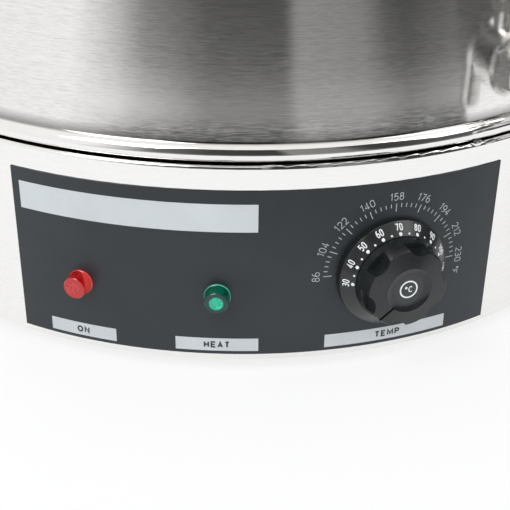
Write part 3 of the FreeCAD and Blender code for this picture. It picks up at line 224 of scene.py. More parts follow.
def brushed_steel(name, colour, roughness, streak, anisotropy, grain=0.14, smudge=0.12, painted_shade_top=None):
    """Steel with fine brushing round the vessel, cloudy smudges, fine scratches and painted shade that darkens its
    foot.
    """
    material, shader = new_material(name)
    tree = material.node_tree
    place = round_the_axis(tree)
    fine = noise(tree, stretched(tree, place, (170.0, 170.0, 2600.0)), 1.0, 2.0, 0.6)
    broad = noise(tree, stretched(tree, place, (9.0, 9.0, 700.0)), 1.0, 3.0, 0.6)
    scratches = noise(tree, stretched(tree, place, (90.0, 90.0, 7000.0)), 1.0, 1.0, 0.5, 0.3)
    cloud = noise(tree, object_point(tree), 11.0, 4.0, 0.6, 0.6)
    spots = noise(tree, object_point(tree), 70.0, 3.0, 0.7)
    streaks = math_node(tree, "ADD", math_node(tree, "MULTIPLY", fine, 0.75),
                        math_node(tree, "MULTIPLY", broad, 0.25))
    toned = ramp(tree, streaks, [(0.34, shaded(colour, 1.0 - grain)), (0.5, colour),
                                 (0.66, shaded(colour, 1.0 + 0.6 * grain))])
    dulled = mixed(tree, between(tree, cloud, 0.0, smudge, 0.52, 0.8), toned, shaded(colour, 0.72))
    scored = mixed(tree, between(tree, scratches, 0.0, 0.22, 0.72, 0.8), dulled, shaded(colour, 0.6))
    # Painted shade: below a given height the base colour darkens, standing in for a dark reflection at the wall's
    # foot.
    if painted_shade_top:
        height = point_parts(tree)[2]
        wander = math_node(tree, "ADD", height, math_node(tree, "MULTIPLY", cloud, MM))
        scored = mixed(tree, between(tree, wander, 0.8, 0.0, painted_shade_top, painted_shade_top + PAINTED_SHADE_FADE), scored, shaded(colour, 0.3))
    tree.links.new(scored, shader.inputs["Base Color"])
    rough = math_node(tree, "ADD", between(tree, streaks, 0.6 * roughness, 1.5 * roughness, 0.3, 0.7),
                      between(tree, spots, 0.0, 0.4 * roughness, 0.55, 0.75))
    tree.links.new(rough, shader.inputs["Roughness"])
    shader.inputs["Metallic"].default_value = 1.0
    shader.inputs["Anisotropic"].default_value = anisotropy
    tangent = node(tree, "ShaderNodeTangent", direction_type="RADIAL", axis="Z")
    tree.links.new(tangent.outputs[0], shader.inputs["Tangent"])
    shader.inputs["Anisotropic Rotation"].default_value = 0.25
    bump(tree, shader, streaks, streak, 0.012 * MM)
    return material


def satin_metal(name, colour, roughness, grain_scale, dull=0.5, coat=0.0):
    """Plain metal with a fine grain, dull patches and darker spots."""
    material, shader = new_material(name)
    tree = material.node_tree
    place = object_point(tree)
    grain = noise(tree, place, grain_scale, 3.0, 0.6)
    patches = noise(tree, place, 38.0, 4.0, 0.65, 0.4)
    tree.links.new(ramp(tree, patches, [(0.25, shaded(colour, 1.0 - 0.35 * dull)), (0.55, colour),
                                        (0.8, shaded(colour, 1.06))]), shader.inputs["Base Color"])
    rough = math_node(tree, "ADD", between(tree, patches, roughness + 0.1, roughness - 0.04, 0.3, 0.7),
                      between(tree, grain, -0.03, 0.04, 0.3, 0.7))
    tree.links.new(rough, shader.inputs["Roughness"])
    shader.inputs["Metallic"].default_value = 1.0
    shader.inputs["Coat Weight"].default_value = coat
    bump(tree, shader, grain, 0.15, 0.02 * MM)
    return material


def moulded_plastic(name, colour, roughness, texture_scale, texture=0.25, dust=0.08, shine=0.5):
    """Moulded plastic or rubber with a spark texture, uneven gloss and a little dust."""
    material, shader = new_material(name)
    tree = material.node_tree
    place = object_point(tree)
    spark = noise(tree, place, texture_scale, 2.0, 0.7)
    patches = noise(tree, place, 45.0, 4.0, 0.6, 0.3)
    specks = noise(tree, place, 900.0, 1.0, 0.4)
    toned = ramp(tree, patches, [(0.3, shaded(colour, 0.86)), (0.5, colour), (0.75, shaded(colour, 1.15))])
    dusty = mixed(tree, between(tree, specks, 0.0, dust, 0.66, 0.78), toned, (0.55, 0.55, 0.53))
    tree.links.new(dusty, shader.inputs["Base Color"])
    rough = math_node(tree, "ADD", between(tree, patches, roughness - 0.05, roughness + 0.06, 0.3, 0.7),
                      between(tree, spark, -0.04, 0.05, 0.3, 0.7))
    tree.links.new(rough, shader.inputs["Roughness"])
    shader.inputs["Specular IOR Level"].default_value = shine
    bump(tree, shader, spark, texture, 0.03 * MM)
    return material


def print_film(name, colour, roughness):
    """Printed film with a fine matt grain, faint rub marks and dust."""
    material, shader = new_material(name)
    tree = material.node_tree
    place = round_the_axis(tree)
    grain = noise(tree, place, 5200.0, 2.0, 0.6)
    patches = noise(tree, place, 22.0, 4.0, 0.6, 0.5)
    rubs = noise(tree, stretched(tree, place, (140.0, 140.0, 900.0)), 1.0, 2.0, 0.5, 0.8)
    specks = noise(tree, place, 1400.0, 1.0, 0.4)
    toned = ramp(tree, patches, [(0.3, shaded(colour, 0.93)), (0.5, colour), (0.75, shaded(colour, 1.08))])
    rubbed = mixed(tree, between(tree, rubs, 0.0, 0.10, 0.66, 0.8), toned, shaded(colour, 1.6))
    dusty = mixed(tree, between(tree, specks, 0.0, 0.07, 0.72, 0.8), rubbed, (0.5, 0.5, 0.5))
    tree.links.new(dusty, shader.inputs["Base Color"])
    rough = math_node(tree, "ADD", between(tree, patches, roughness + 0.05, roughness - 0.05, 0.3, 0.7),
                      between(tree, grain, -0.04, 0.04, 0.3, 0.7))
    tree.links.new(rough, shader.inputs["Roughness"])
    bump(tree, shader, grain, 0.12, 0.01 * MM)
    return material


def lamp_place(tree, node_name):
    """Distance from a lamp's own axis and reach along it, in metres, and the reach of its tip."""
    low, high = (Vector(corner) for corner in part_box(node_name))
    middle = (low + high) / 2
    azimuth = azimuth_of(middle)
    out = Vector((math.sin(azimuth), -math.cos(azimuth), 0.0))
    tip = max(v.co.dot(out) for v in frame["nodes"][node_name].data.vertices)
    centre = (0.0, 0.0, middle.z)
    arm = node(tree, "ShaderNodeVectorMath", operation="SUBTRACT", inputs={0: object_point(tree), 1: centre})
    along = node(tree, "ShaderNodeVectorMath", operation="DOT_PRODUCT", inputs={0: arm.outputs[0], 1: tuple(out)})
    length = node(tree, "ShaderNodeVectorMath", operation="LENGTH", inputs={0: arm.outputs[0]}).outputs["Value"]
    reach = along.outputs["Value"]
    square = math_node(tree, "SUBTRACT", math_node(tree, "MULTIPLY", length, length),
                       math_node(tree, "MULTIPLY", reach, reach))
    return math_node(tree, "SQRT", math_node(tree, "MAXIMUM", square, 0.0)), reach, tip


# Radii between which a lens's painted rim glint begins, the depths below its tip between which its face begins,
# and how far inside and outside its radius the core's painted reflection fades.
RIM_GLINT_FROM, RIM_GLINT_FULL = 6.28 * MM, 6.45 * MM
FACE_FROM, FACE_FULL = 0.5 * MM, 0.3 * MM
CORE_INSIDE, CORE_OUTSIDE = 0.3 * MM, 0.4 * MM


def lens_plastic(name, node_name, side, deep_reflection, rim_glint, face, core_reflection, core_radius):
    """Clear coloured lamp lens with painted light: deep and bright mottling in its side as painted inner
    reflections, a painted glint on its rim, and a core seen through its face, painted bright as reflected light.
    """
    material, shader = new_material(name)
    tree = material.node_tree
    away, reach, tip = lamp_place(tree, node_name)
    flow_and_reflections = noise(tree, object_point(tree), 260.0, 2.0, 0.5, 1.2)
    glints = noise(tree, object_point(tree), 620.0, 2.0, 0.6, 0.6)
    # Painted reflections: deep and bright tones mottle the side like light bouncing inside the clear plastic.
    body = ramp(tree, flow_and_reflections, [(0.36, deep_reflection), (0.5, side), (0.68, shaded(side, 1.35))])
    # Painted glint: a bright band round the lens's outer rim.
    glinted = mixed(tree, between(tree, away, 0.0, 1.0, RIM_GLINT_FROM, RIM_GLINT_FULL), body, rim_glint)
    # Painted reflection: the core is painted bright, with painted glints, as light reflected inside the lamp.
    painted_core = ramp(tree, glints, [(0.35, shaded(core_reflection, 0.72)), (0.5, core_reflection), (0.62, shaded(core_reflection, 1.25))])
    in_core = between(tree, away, 1.0, 0.0, core_radius - CORE_INSIDE, core_radius + CORE_OUTSIDE)
    seen = mixed(tree, in_core, face, painted_core)
    on_face = between(tree, reach, 0.0, 1.0, tip - FACE_FROM, tip - FACE_FULL)
    tree.links.new(mixed(tree, on_face, glinted, seen), shader.inputs["Base Color"])
    tree.links.new(between(tree, flow_and_reflections, 0.05, 0.13, 0.3, 0.7), shader.inputs["Roughness"])
    shader.inputs["Coat Weight"].default_value = 0.2
    shader.inputs["Coat Roughness"].default_value = 0.04
    shader.inputs["IOR"].default_value = 1.49
    bump(tree, shader, flow_and_reflections, 0.12, 0.05 * MM)
    return material


def printed_ink(name, colour, roughness=0.45):
    """Screen printed ink, a little uneven."""
    material, shader = new_material(name)
    tree = material.node_tree
    place = object_point(tree)
    body = noise(tree, place, 2400.0, 2.0, 0.6)
    tree.links.new(ramp(tree, body, [(0.25, shaded(colour, 0.82)), (0.55, colour)]), shader.inputs["Base Color"])
    tree.links.new(between(tree, body, roughness - 0.05, roughness + 0.1, 0.3, 0.7), shader.inputs["Roughness"])
    bump(tree, shader, body, 0.1, 0.01 * MM)
    return material


def mineral_wool(name, colour):
    """Felted wool with long fibres."""
    material, shader = new_material(name)
    tree = material.node_tree
    place = object_point(tree)
    fibres = noise(tree, stretched(tree, place, (120.0, 120.0, 700.0)), 1.0, 5.0, 0.75, 2.0)
    tufts = noise(tree, place, 60.0, 4.0, 0.7, 0.8)
    toned = ramp(tree, fibres, [(0.3, shaded(colour, 0.62)), (0.5, colour), (0.7, shaded(colour, 1.2))])
    tree.links.new(mixed(tree, between(tree, tufts, 0.0, 0.4, 0.5, 0.75), toned, shaded(colour, 0.7)),
                   shader.inputs["Base Color"])
    shader.inputs["Roughness"].default_value = 0.95
    bump(tree, shader, math_node(tree, "ADD", fibres, tufts), 0.9, 1.2 * MM)
    return material


# Height up to which the wall's foot gets its painted shade.
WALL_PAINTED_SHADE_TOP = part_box("vessel_wall")[0][2] + PAINTED_SHADE_RISE
SLOT_LOOKS = {
    "polished_steel": brushed_steel("polished_steel", (0.91, 0.90, 0.88), 0.05, 0.02, 0.5,
                                    grain=0.03, smudge=0.08),
    "brushed_steel": brushed_steel("brushed_steel", (0.87, 0.855, 0.84), 0.1, 0.07, 0.6,
                                   painted_shade_top=WALL_PAINTED_SHADE_TOP),
    "stainless": satin_metal("stainless", (0.74, 0.735, 0.725), 0.2, 900.0),
    "zinc_steel": satin_metal("zinc_steel", (0.66, 0.67, 0.68), 0.38, 500.0, dull=0.8),
    "panel_film": print_film("panel_film", (0.017, 0.023, 0.028), 0.42),
    "label_film": print_film("label_film", (0.575, 0.61, 0.63), 0.4),
    # The lenses' rim colours are painted glints and their core colours painted reflections.
    "lens_red": lens_plastic("lens_red", "power_lamp_lens", side=(0.52, 0.004, 0.004), deep_reflection=(0.26, 0.0, 0.0),
                             rim_glint=(0.8, 0.07, 0.06), face=(0.46, 0.022, 0.024), core_reflection=(0.48, 0.025, 0.025),
                             core_radius=3.6 * MM),
    "lens_green": lens_plastic("lens_green", "working_lamp_lens", side=(0.0, 0.10, 0.055),
                               deep_reflection=(0.0, 0.045, 0.025), rim_glint=(0.1, 0.55, 0.38), face=(0.006, 0.04, 0.033),
                               core_reflection=(0.012, 0.47, 0.29), core_radius=3.3 * MM),
    "dark_plastic": moulded_plastic("dark_plastic", (0.012, 0.0145, 0.015), 0.22, 1500.0, texture=0.06, dust=0.03,
                                    shine=0.55),
    "knob_face": moulded_plastic("knob_face", (0.028, 0.034, 0.036), 0.34, 1800.0, texture=0.12, dust=0.03),
    "lever_grip": moulded_plastic("lever_grip", (0.03, 0.03, 0.032), 0.3, 500.0),
    "silicone": moulded_plastic("silicone", (0.6, 0.6, 0.58), 0.5, 700.0, dust=0.0),
    "rubber": moulded_plastic("rubber", (0.03, 0.03, 0.031), 0.72, 900.0, texture=0.4, dust=0.2),
    "heater_alloy": satin_metal("heater_alloy", (0.7, 0.7, 0.71), 0.5, 260.0, dull=0.9),
    "element_steel": satin_metal("element_steel", (0.32, 0.31, 0.3), 0.5, 400.0, dull=1.0),
    "copper": satin_metal("copper", (0.78, 0.44, 0.29), 0.28, 600.0, dull=0.8),
    "ivory_plastic": moulded_plastic("ivory_plastic", (0.72, 0.69, 0.58), 0.4, 1200.0, dust=0.0),
    "wire_sheath": moulded_plastic("wire_sheath", (0.3, 0.1, 0.06), 0.5, 800.0, dust=0.05),
    "mineral_wool": mineral_wool("mineral_wool", (0.66, 0.6, 0.44)),
}


def dress_nodes():
    """Gives each CAD node the look of its material slot."""
    for part in frame["record"]["subparts"]:
        slots = frame["nodes"][part["node"]].data.materials
        look = SLOT_LOOKS[part["material_slot"]]
        if not slots:
            slots.append(look)
        for index in range(len(slots)):
            slots[index] = look


# Printed marks: thin closed shapes laid on the panel, on the dial ring and on the strips

# How far a mark stands over its face and reaches below it.
INK_LIFT = 0.05 * MM
INK_SINK = 0.02 * MM
# Side of the line and lift of each corner of a line's cross section.
LINE_CORNERS = ((-1, -INK_SINK), (1, -INK_SINK), (1, INK_LIFT), (-1, INK_LIFT))


def on_panel(u, v, lift, face=panel_face):
    """Point on the panel's curve: u to the right and v up from the dial's centre."""
    azimuth = dial_azimuth + u / face
    reach = face + lift
    return Vector((reach * math.sin(azimuth), -reach * math.cos(azimuth), dial_z + v))


def on_ring(angle, radius, lift):
    """Point on the dial ring's cone at an angle and a distance from the dial's axis."""
    run = ring_radius - EDGE_TOLERANCE / 2 - ring_top_radius
    fall = (ring_top - ring_rim) / run
    height = ring_top - (radius - ring_top_radius) * fall
    slope = math.atan(fall)
    radius += lift * math.sin(slope)
    height += lift * math.cos(slope)
    across = Vector((math.cos(dial_azimuth), math.sin(dial_azimuth), 0))
    return (Vector((0, 0, dial_z)) + knob_out * height + across * radius * math.sin(angle)
            + Vector((0, 0, 1)) * radius * math.cos(angle))


# How far the Fahrenheit print sits above and to the right of the dial's centre.
SCALE_RISE = 0.9 * MM
SCALE_SHIFT = 0.3 * MM


def polar_on_panel(angle, radius):
    """Lays a flat shape on the panel at an angle and radius, with its top outwards. The print sits off centre."""
    def lay(x, y, lift):
        reach = radius + y
        return on_panel(SCALE_SHIFT + reach * math.sin(angle) + x * math.cos(angle),
                        SCALE_RISE + reach * math.cos(angle) - x * math.sin(angle), lift)
    return lay


def polar_on_ring(angle, radius):
    """Lays a flat shape on the dial ring's cone at an angle and radius, with its top outwards."""
    slope = math.atan2(ring_top - ring_rim, ring_radius - ring_top_radius)

    def lay(x, y, lift):
        return on_ring(angle + x / radius, radius + y * math.cos(slope), lift)
    return lay


def flat_on_strip(azimuth, z):
    """Lays a flat shape on a strip, centred at an azimuth and height."""
    def lay(x, y, lift):
        return on_panel(x + (azimuth - dial_azimuth) * strip_face, y + z - dial_z, lift, strip_face)
    return lay


def flat_on_cap(tilt):
    """Lays a flat shape on the knob's cap, turned clockwise by a tilt."""
    across = Vector((math.cos(dial_azimuth), math.sin(dial_azimuth), 0))
    up = Vector((0, 0, 1))

    def lay(x, y, lift):
        right = x * math.cos(tilt) + y * math.sin(tilt)
        high = y * math.cos(tilt) - x * math.sin(tilt)
        return Vector((0, 0, dial_z)) + knob_out * (cap_top + lift) + across * right + up * high
    return lay


GLYPH_WIDTHS = {"1": 0.6, "°": 0.62, "M": 1.3, "O": 1.2, "N": 1.05, "F": 0.95}


def arc(x, y, rx, ry, start, end, steps=10):
    """Points along part of an ellipse, by angles in degrees."""
    turns = [math.radians(start + (end - start) * k / steps) for k in range(steps + 1)]
    return [(x + rx * math.cos(t), y + ry * math.sin(t)) for t in turns]


def glyph(letter):
    """Strokes of a character in a box one wide and one high."""
    bowl = arc(0.5, 0.3, 0.5, 0.3, 0, 360, 20)
    head = arc(0.5, 0.7, 0.5, 0.3, 0, 360, 20)
    ring = arc(0.5, 0.72, 0.5, 0.28, 0, 180) + arc(0.5, 0.28, 0.5, 0.28, 180, 360)
    strokes = {
        "0": [ring + [ring[0]]],
        "1": [[(0.0, 0.76), (0.75, 1.0), (0.75, 0.0)]],
        "2": [arc(0.5, 0.72, 0.5, 0.28, 165, -30) + [(0.0, 0.0), (1.0, 0.0)]],
        "3": [arc(0.48, 0.76, 0.46, 0.24, 150, -90) + arc(0.46, 0.27, 0.54, 0.27, 90, -150)],
        "4": [[(1.0, 0.27), (0.0, 0.27), (0.72, 1.0), (0.72, 0.0)]],
        "5": [[(0.92, 1.0), (0.14, 1.0), (0.06, 0.54)] + arc(0.48, 0.32, 0.52, 0.32, 130, -145)],
        "6": [bowl, arc(0.56, 0.3, 0.56, 0.7, 180, 75, 8)],
        "7": [[(0.0, 1.0), (1.0, 1.0), (0.32, 0.0)]],
        "8": [arc(0.5, 0.77, 0.42, 0.23, 0, 360, 20), arc(0.5, 0.27, 0.5, 0.27, 0, 360, 20)],
        "9": [head, arc(0.44, 0.7, 0.56, 0.7, 0, -105, 8)],
        "°": [arc(0.5, 0.84, 0.5, 0.16, 0, 360, 12)],
        "C": [arc(0.55, 0.5, 0.55, 0.5, 45, 315, 16)],
        "F": [[(1.0, 1.0), (0.0, 1.0), (0.0, 0.0)], [(0.0, 0.52), (0.8, 0.52)]],
        "O": [arc(0.5, 0.5, 0.5, 0.5, 0, 360, 24)],
        "N": [[(0.0, 0.0), (0.0, 1.0), (1.0, 0.0), (1.0, 1.0)]],
        "H": [[(0.0, 0.0), (0.0, 1.0)], [(1.0, 0.0), (1.0, 1.0)], [(0.0, 0.5), (1.0, 0.5)]],
        "E": [[(1.0, 1.0), (0.0, 1.0), (0.0, 0.0), (1.0, 0.0)], [(0.0, 0.5), (0.85, 0.5)]],
        "A": [[(0.0, 0.0), (0.5, 1.0), (1.0, 0.0)], [(0.18, 0.33), (0.82, 0.33)]],
        "T": [[(0.0, 1.0), (1.0, 1.0)], [(0.5, 1.0), (0.5, 0.0)]],
        "M": [[(0.0, 0.0), (0.0, 1.0), (0.5, 0.2), (1.0, 1.0), (1.0, 0.0)]],
        "P": [[(0.0, 0.0), (0.0, 1.0), (0.55, 1.0)] + arc(0.6, 0.74, 0.4, 0.26, 90, -90)
              + [(0.55, 0.48), (0.0, 0.48)]],
    }
    return strokes[letter]


class Print:
    """Collects thin closed shapes into one mesh."""

    def __init__(self, name):
        self.name = name
        self.verts = []
        self.faces = []

    def outline(self, corners, lay):
        """Adds a prism over a flat outline, given as corners counted counter-clockwise."""
        start = len(self.verts)
        count = len(corners)
        for lift in (-INK_SINK, INK_LIFT):
            self.verts += [lay(x, y, lift) for x, y in corners]
        self.faces.append([start + k for k in reversed(range(count))])
        self.faces.append([start + count + k for k in range(count)])
        for k in range(count):
            after = (k + 1) % count
            self.faces.append([start + k, start + after, start + count + after, start + count + k])

    def bar(self, width, low, high, lay):
        """Adds an upright bar from one height to another."""
        self.outline([(-width / 2, low), (width / 2, low), (width / 2, high), (-width / 2, high)], lay)

    def dot(self, radius, lay, sides=20):
        """Adds a round dot."""
        turns = [2 * math.pi * k / sides for k in range(sides)]
        self.outline([(radius * math.cos(t), radius * math.sin(t)) for t in turns], lay)

    def run(self, start, count, closed):
        """Joins each cross section of a line to the next one, from its first vertex on."""
        for k in range(count if closed else count - 1):
            here, there = start + 4 * k, start + 4 * ((k + 1) % count)
            for c in range(4):
                d = (c + 1) % 4
                self.faces.append([here + c, here + d, there + d, there + c])

    def circle(self, radius, width, lay, sides=64):
        """Adds a closed ring line of one width."""
        start = len(self.verts)
        for k in range(sides):
            turn = 2 * math.pi * k / sides
            for sign, lift in LINE_CORNERS:
                reach = radius + sign * width / 2
                self.verts.append(lay(reach * math.cos(turn), reach * math.sin(turn), lift))
        self.run(start, sides, True)

    def stroke(self, line, width, lay):
        """Adds a band of one width along a line, closed where its ends meet."""
        closed = (line[0] - line[-1]).length < 1e-9
        points = line[:-1] if closed else line
        count = len(points)
        start = len(self.verts)
        for k, point in enumerate(points):
            before = points[k - 1] if k or closed else point
            after = points[(k + 1) % count] if k < count - 1 or closed else point
            into = (point - before).normalized() if (point - before).length else (after - point).normalized()
            out = (after - point).normalized() if (after - point).length else into
            side = Vector((-(into.y + out.y), into.x + out.x)).normalized()
            reach = width / 2 / max(0.5, side.dot(Vector((-out.y, out.x))))
            for sign, lift in LINE_CORNERS:
                place = point + side * reach * sign
                self.verts.append(lay(place.x, place.y, lift))
        self.run(start, count, closed)
        if not closed:
            last = start + 4 * (count - 1)
            self.faces.append([start + c for c in (3, 2, 1, 0)])
            self.faces.append([last + c for c in range(4)])

    def text(self, words, height, width, line, gap, lay):
        """Adds drawn characters, centred, of one height, a width each, a line width and a gap between them."""
        widths = [width * GLYPH_WIDTHS.get(letter, 1.0) for letter in words]
        x = -(sum(widths) + gap * (len(words) - 1)) / 2
        for letter, wide in zip(words, widths):
            for drawn in glyph(letter):
                inner_wide = wide - line
                inner_high = height - line
                points = [Vector((x + line / 2 + px * inner_wide, line / 2 - height / 2 + py * inner_high))
                          for px, py in drawn]
                self.stroke(points, line, lay)
            x += wide + gap

    def build(self, material, body):
        """Makes the piece, closes it and rides it on a body."""
        mesh = bpy.data.meshes.new(self.name)
        mesh.from_pydata(self.verts, [], self.faces)
        work = bmesh.new()
        work.from_mesh(mesh)
        bmesh.ops.remove_doubles(work, verts=work.verts, dist=0.002 * MM)
        bmesh.ops.recalc_face_normals(work, faces=work.faces)
        work.to_mesh(mesh)
        work.free()
        mesh.materials.append(material)
        piece = bpy.data.objects.new(self.name, mesh)
        bpy.context.scene.collection.objects.link(piece)
        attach(piece, body)


# The dial's turn in degrees for ten degrees Celsius, the angle of its first figure, and its figures.
DEGREES_PER_MARK = 22.5
FIRST_MARK = -90.0
CELSIUS = range(30, 111, 10)


def mark_angle(step):
    """Angle of the dial at a step of ten degrees Celsius."""
    return math.radians(FIRST_MARK + DEGREES_PER_MARK * step)


def print_fahrenheit(ink):
    """Fahrenheit ticks and figures on the panel round the dial ring."""
    marks = Print("scale_fahrenheit")
    outer = 35.0 * MM
    long_tick = 4.2 * MM
    short_tick = 2.0 * MM
    tick_width = 0.38 * MM
    figure_radius = 38.6 * MM
    unit_radius = 38.8 * MM
    unit_angle = math.radians(103)
    line = 0.33 * MM
    minor = 5
    last = len(CELSIUS) - 1
    for step in range(last * minor + 1):
        angle = mark_angle(step / minor)
        length = long_tick if step % minor == 0 else short_tick
        marks.bar(tick_width, -length, 0, polar_on_panel(angle, outer))
    for step, celsius in enumerate(CELSIUS):
        fahrenheit = round(celsius * 9 / 5 + 32)
        lay = polar_on_panel(mark_angle(step), figure_radius)
        marks.text(str(fahrenheit), 3.9 * MM, 2.3 * MM, line, 0.62 * MM, lay)
    marks.text("°F", 3.4 * MM, 2.0 * MM, line, 0.7 * MM, polar_on_panel(unit_angle, unit_radius))
    marks.build(ink, "vessel")


def print_celsius(ink):
    """Celsius dots and figures on the dial ring."""
    marks = Print("scale_celsius")
    dot_circle = 23.3 * MM
    figure_radius = 25.9 * MM
    large_dot = 0.85 * MM
    small_dot = 0.52 * MM
    last = len(CELSIUS) - 1
    for step in range(2 * last + 1):
        size = large_dot if step % 2 == 0 else small_dot
        marks.dot(size, polar_on_ring(mark_angle(step / 2), dot_circle))
    for step, celsius in enumerate(CELSIUS):
        lay = polar_on_ring(mark_angle(step), figure_radius)
        marks.text(str(celsius), 3.5 * MM, 1.7 * MM, 0.5 * MM, 0.32 * MM, lay)
    marks.build(ink, "vessel")


def print_strips(ink):
    """Generic words on the three small strips."""
    marks = Print("strip_words")
    strip_z = 16.7 * MM
    for words, degrees in (("ON", -22.45), ("HEAT", -5.3), ("TEMP", 16.3)):
        marks.text(words, 3.7 * MM, 2.7 * MM, 0.85 * MM, 0.7 * MM, flat_on_strip(math.radians(degrees), strip_z))
    marks.build(ink, "vessel")


def print_knob(ink):
    """A ring with the unit inside it on the knob's cap."""
    marks = Print("knob_mark")
    lay = flat_on_cap(0.0)
    marks.circle(4.3 * MM, 0.75 * MM, lay)
    marks.text("°C", 3.3 * MM, 2.2 * MM, 0.5 * MM, 0.5 * MM, lay)
    marks.build(ink, "knob")


# Stage, light and camera

def make_camera():
    """Camera at the photograph's place and angle, found from the curves of drum and panel."""
    distance = 667.16 * MM
    height = 302.56 * MM
    pan, pitch, roll = 0.0157, 0.4945, 0.0133
    turn = math.radians(-2.46)
    focal_pixels = 1053.45
    frame_pixels = 510.0
    forward = Vector((math.sin(pan) * math.cos(pitch), math.cos(pan) * math.cos(pitch), -math.sin(pitch)))
    right = Vector((math.cos(pan), -math.sin(pan), 0))
    up = right.cross(forward)
    rolled_right = math.cos(roll) * right + math.sin(roll) * up
    rolled_up = -math.sin(roll) * right + math.cos(roll) * up
    axes = Matrix((rolled_right, rolled_up, -forward)).transposed().to_4x4()
    place = Matrix.Rotation(turn, 4, "Z") @ Matrix.Translation((0, -distance, height)) @ axes
    data = bpy.data.cameras.new("camera")
    data.sensor_width = 36.0
    data.lens = focal_pixels / frame_pixels * data.sensor_width
    data.clip_start = 0.02
    camera = bpy.data.objects.new("camera", data)
    bpy.context.scene.collection.objects.link(camera)
    camera.matrix_world = place
    bpy.context.scene.camera = camera


def stage_mesh(name, verts, faces, material):
    """A mesh of the stage."""
    mesh = bpy.data.meshes.new(name)
    mesh.from_pydata(verts, [], faces)
    mesh.materials.append(material)
    made = bpy.data.objects.new(name, mesh)
    bpy.context.scene.collection.objects.link(made)
    return made


def make_floor():
    """Large pale floor at the feet. Part of its white is seen rather than lit, and it keeps the shadow."""
    half = 30.0
    corners = [(-half, -half, 0), (half, -half, 0), (half, half, 0), (-half, half, 0)]
    material, shader = new_material("floor")
    shader.inputs["Base Color"].default_value = (0.94, 0.94, 0.94, 1.0)
    shader.inputs["Roughness"].default_value = 0.9
    shader.inputs["Specular IOR Level"].default_value = 0.0
    tree = material.node_tree
    path = node(tree, "ShaderNodeLightPath")
    mirrored = math_node(tree, "MAXIMUM", path.outputs["Is Glossy Ray"], path.outputs["Is Transmission Ray"])
    seen_white = 0.75
    mirrored_white = 0.5
    share = math_node(tree, "MAXIMUM", math_node(tree, "MULTIPLY", path.outputs["Is Camera Ray"], seen_white),
                      math_node(tree, "MULTIPLY", mirrored, mirrored_white))
    white = node(tree, "ShaderNodeEmission")
    joined = node(tree, "ShaderNodeMixShader", inputs={0: share})
    tree.links.new(shader.outputs[0], joined.inputs[1])
    tree.links.new(white.outputs[0], joined.inputs[2])
    tree.links.new(joined.outputs[0], output_of(tree).inputs[0])
    stage_mesh("floor", corners, [(0, 1, 2, 3)], material)


# What the steel mirrors past the table's edge, seen by mirroring only: a bright left, a dark middle, a paler card
# from 10 to 30 degrees, a dark right and a dim back. Each azimuth in degrees has its brightest tone, and the share
# of it that distance can take away. The course says how much of that share is kept, by the distance in metres.
MIRRORED_TONE = [(-180, 0.3), (-160, 0.3), (-150, 0.08), (-120, 0.08), (-105, 0.95), (-30, 0.95), (-10, 0.35),
                 (7.5, 0.32), (10, 0.45), (30, 0.42), (36, 0.3), (50, 0.5), (90, 0.5), (120, 0.08), (150, 0.08),
                 (160, 0.3), (180, 0.3)]
MIRRORED_FALL = [(-180, 0.6), (-110, 0.5), (-95, 0.0), (-42, 0.0), (-25, 0.95), (7.5, 1.0), (10, 0.5), (25, 0.6),
                 (31, 1.0), (120, 0.9), (180, 0.6)]
MIRRORED_COURSE = [(0.505, 0.0), (0.54, 0.2), (0.575, 1.0), (0.62, 0.65), (0.7, 0.35), (1.2, 0.15)]
# Distances between which tones on that floor change, its near edges in front and behind with the azimuths in
# degrees that they run between, the step from one corner to the next, and its height over the real floor.
TONE_SPAN = (0.5, 1.3)
NEAR_EDGE = 505 * MM
NEAR_ARC = (-110, 50)
BACK_EDGE = 380 * MM
BACK_ARC = (118, 250)
EDGE_STEP = 2.0
FLOOR_LIFT = 2 * MM
# Near edge of the dark floor to the right, by azimuth in degrees, and its tones there and further away.
RIGHT_EDGE = [(50, 0.585), (63, 0.67), (75, 0.78), (100, 0.9), (118, 0.62)]
RIGHT_TONES = [(0.6, 0.25), (0.8, 0.1)]


def emitted(name):
    """A material that shows an even tone of its own, with its node tree and the socket for the tone."""
    material, shader = new_material(name)
    tree = material.node_tree
    tree.nodes.remove(shader)
    glow = node(tree, "ShaderNodeEmission")
    tree.links.new(glow.outputs[0], output_of(tree).inputs[0])
    return material, tree, glow.inputs["Color"]


def tones_over(tree, value, stops, start, end):
    """Tone found from (place, tone) stops over a range of a value."""
    scaled = between(tree, value, 0.0, 1.0, start, end)
    return ramp(tree, scaled, [((place - start) / (end - start), (tone, tone, tone)) for place, tone in stops])


def floor_place(tree):
    """Azimuth in degrees and distance from the vessel's axis, for a shader of the stage."""
    x, y = point_parts(tree)[:2]
    turn = math_node(tree, "ARCTAN2", x, math_node(tree, "MULTIPLY", y, -1.0))
    return math_node(tree, "MULTIPLY", turn, math.degrees(1.0)), from_the_axis(tree, x, y)


def edge_over(arc_ends, near):
    """Edge at one distance, over an arc of azimuth in degrees."""
    first, last = arc_ends
    steps = round((last - first) / EDGE_STEP)
    return [(first + EDGE_STEP * k, near) for k in range(steps + 1)]


def mirrored_mesh(name, edge, material):
    """Floor from an edge of (azimuth, distance) outwards, with a screen at its far side."""
    far = 3.2
    screen = 3.6
    verts = []
    for degrees, near in edge:
        turn = math.radians(degrees)
        for reach, z in ((near, FLOOR_LIFT), (far, FLOOR_LIFT), (far, screen)):
            verts.append((reach * math.sin(turn), -reach * math.cos(turn), z))
    faces = []
    for k in range(len(edge) - 1):
        here, there = 3 * k, 3 * (k + 1)
        faces += [(here, there, there + 1, here + 1), (here + 1, there + 1, there + 2, here + 2)]
    made = stage_mesh(name, verts, faces, material)
    made.visible_camera = False
    made.visible_diffuse = False
    made.visible_shadow = False
    made.visible_transmission = False


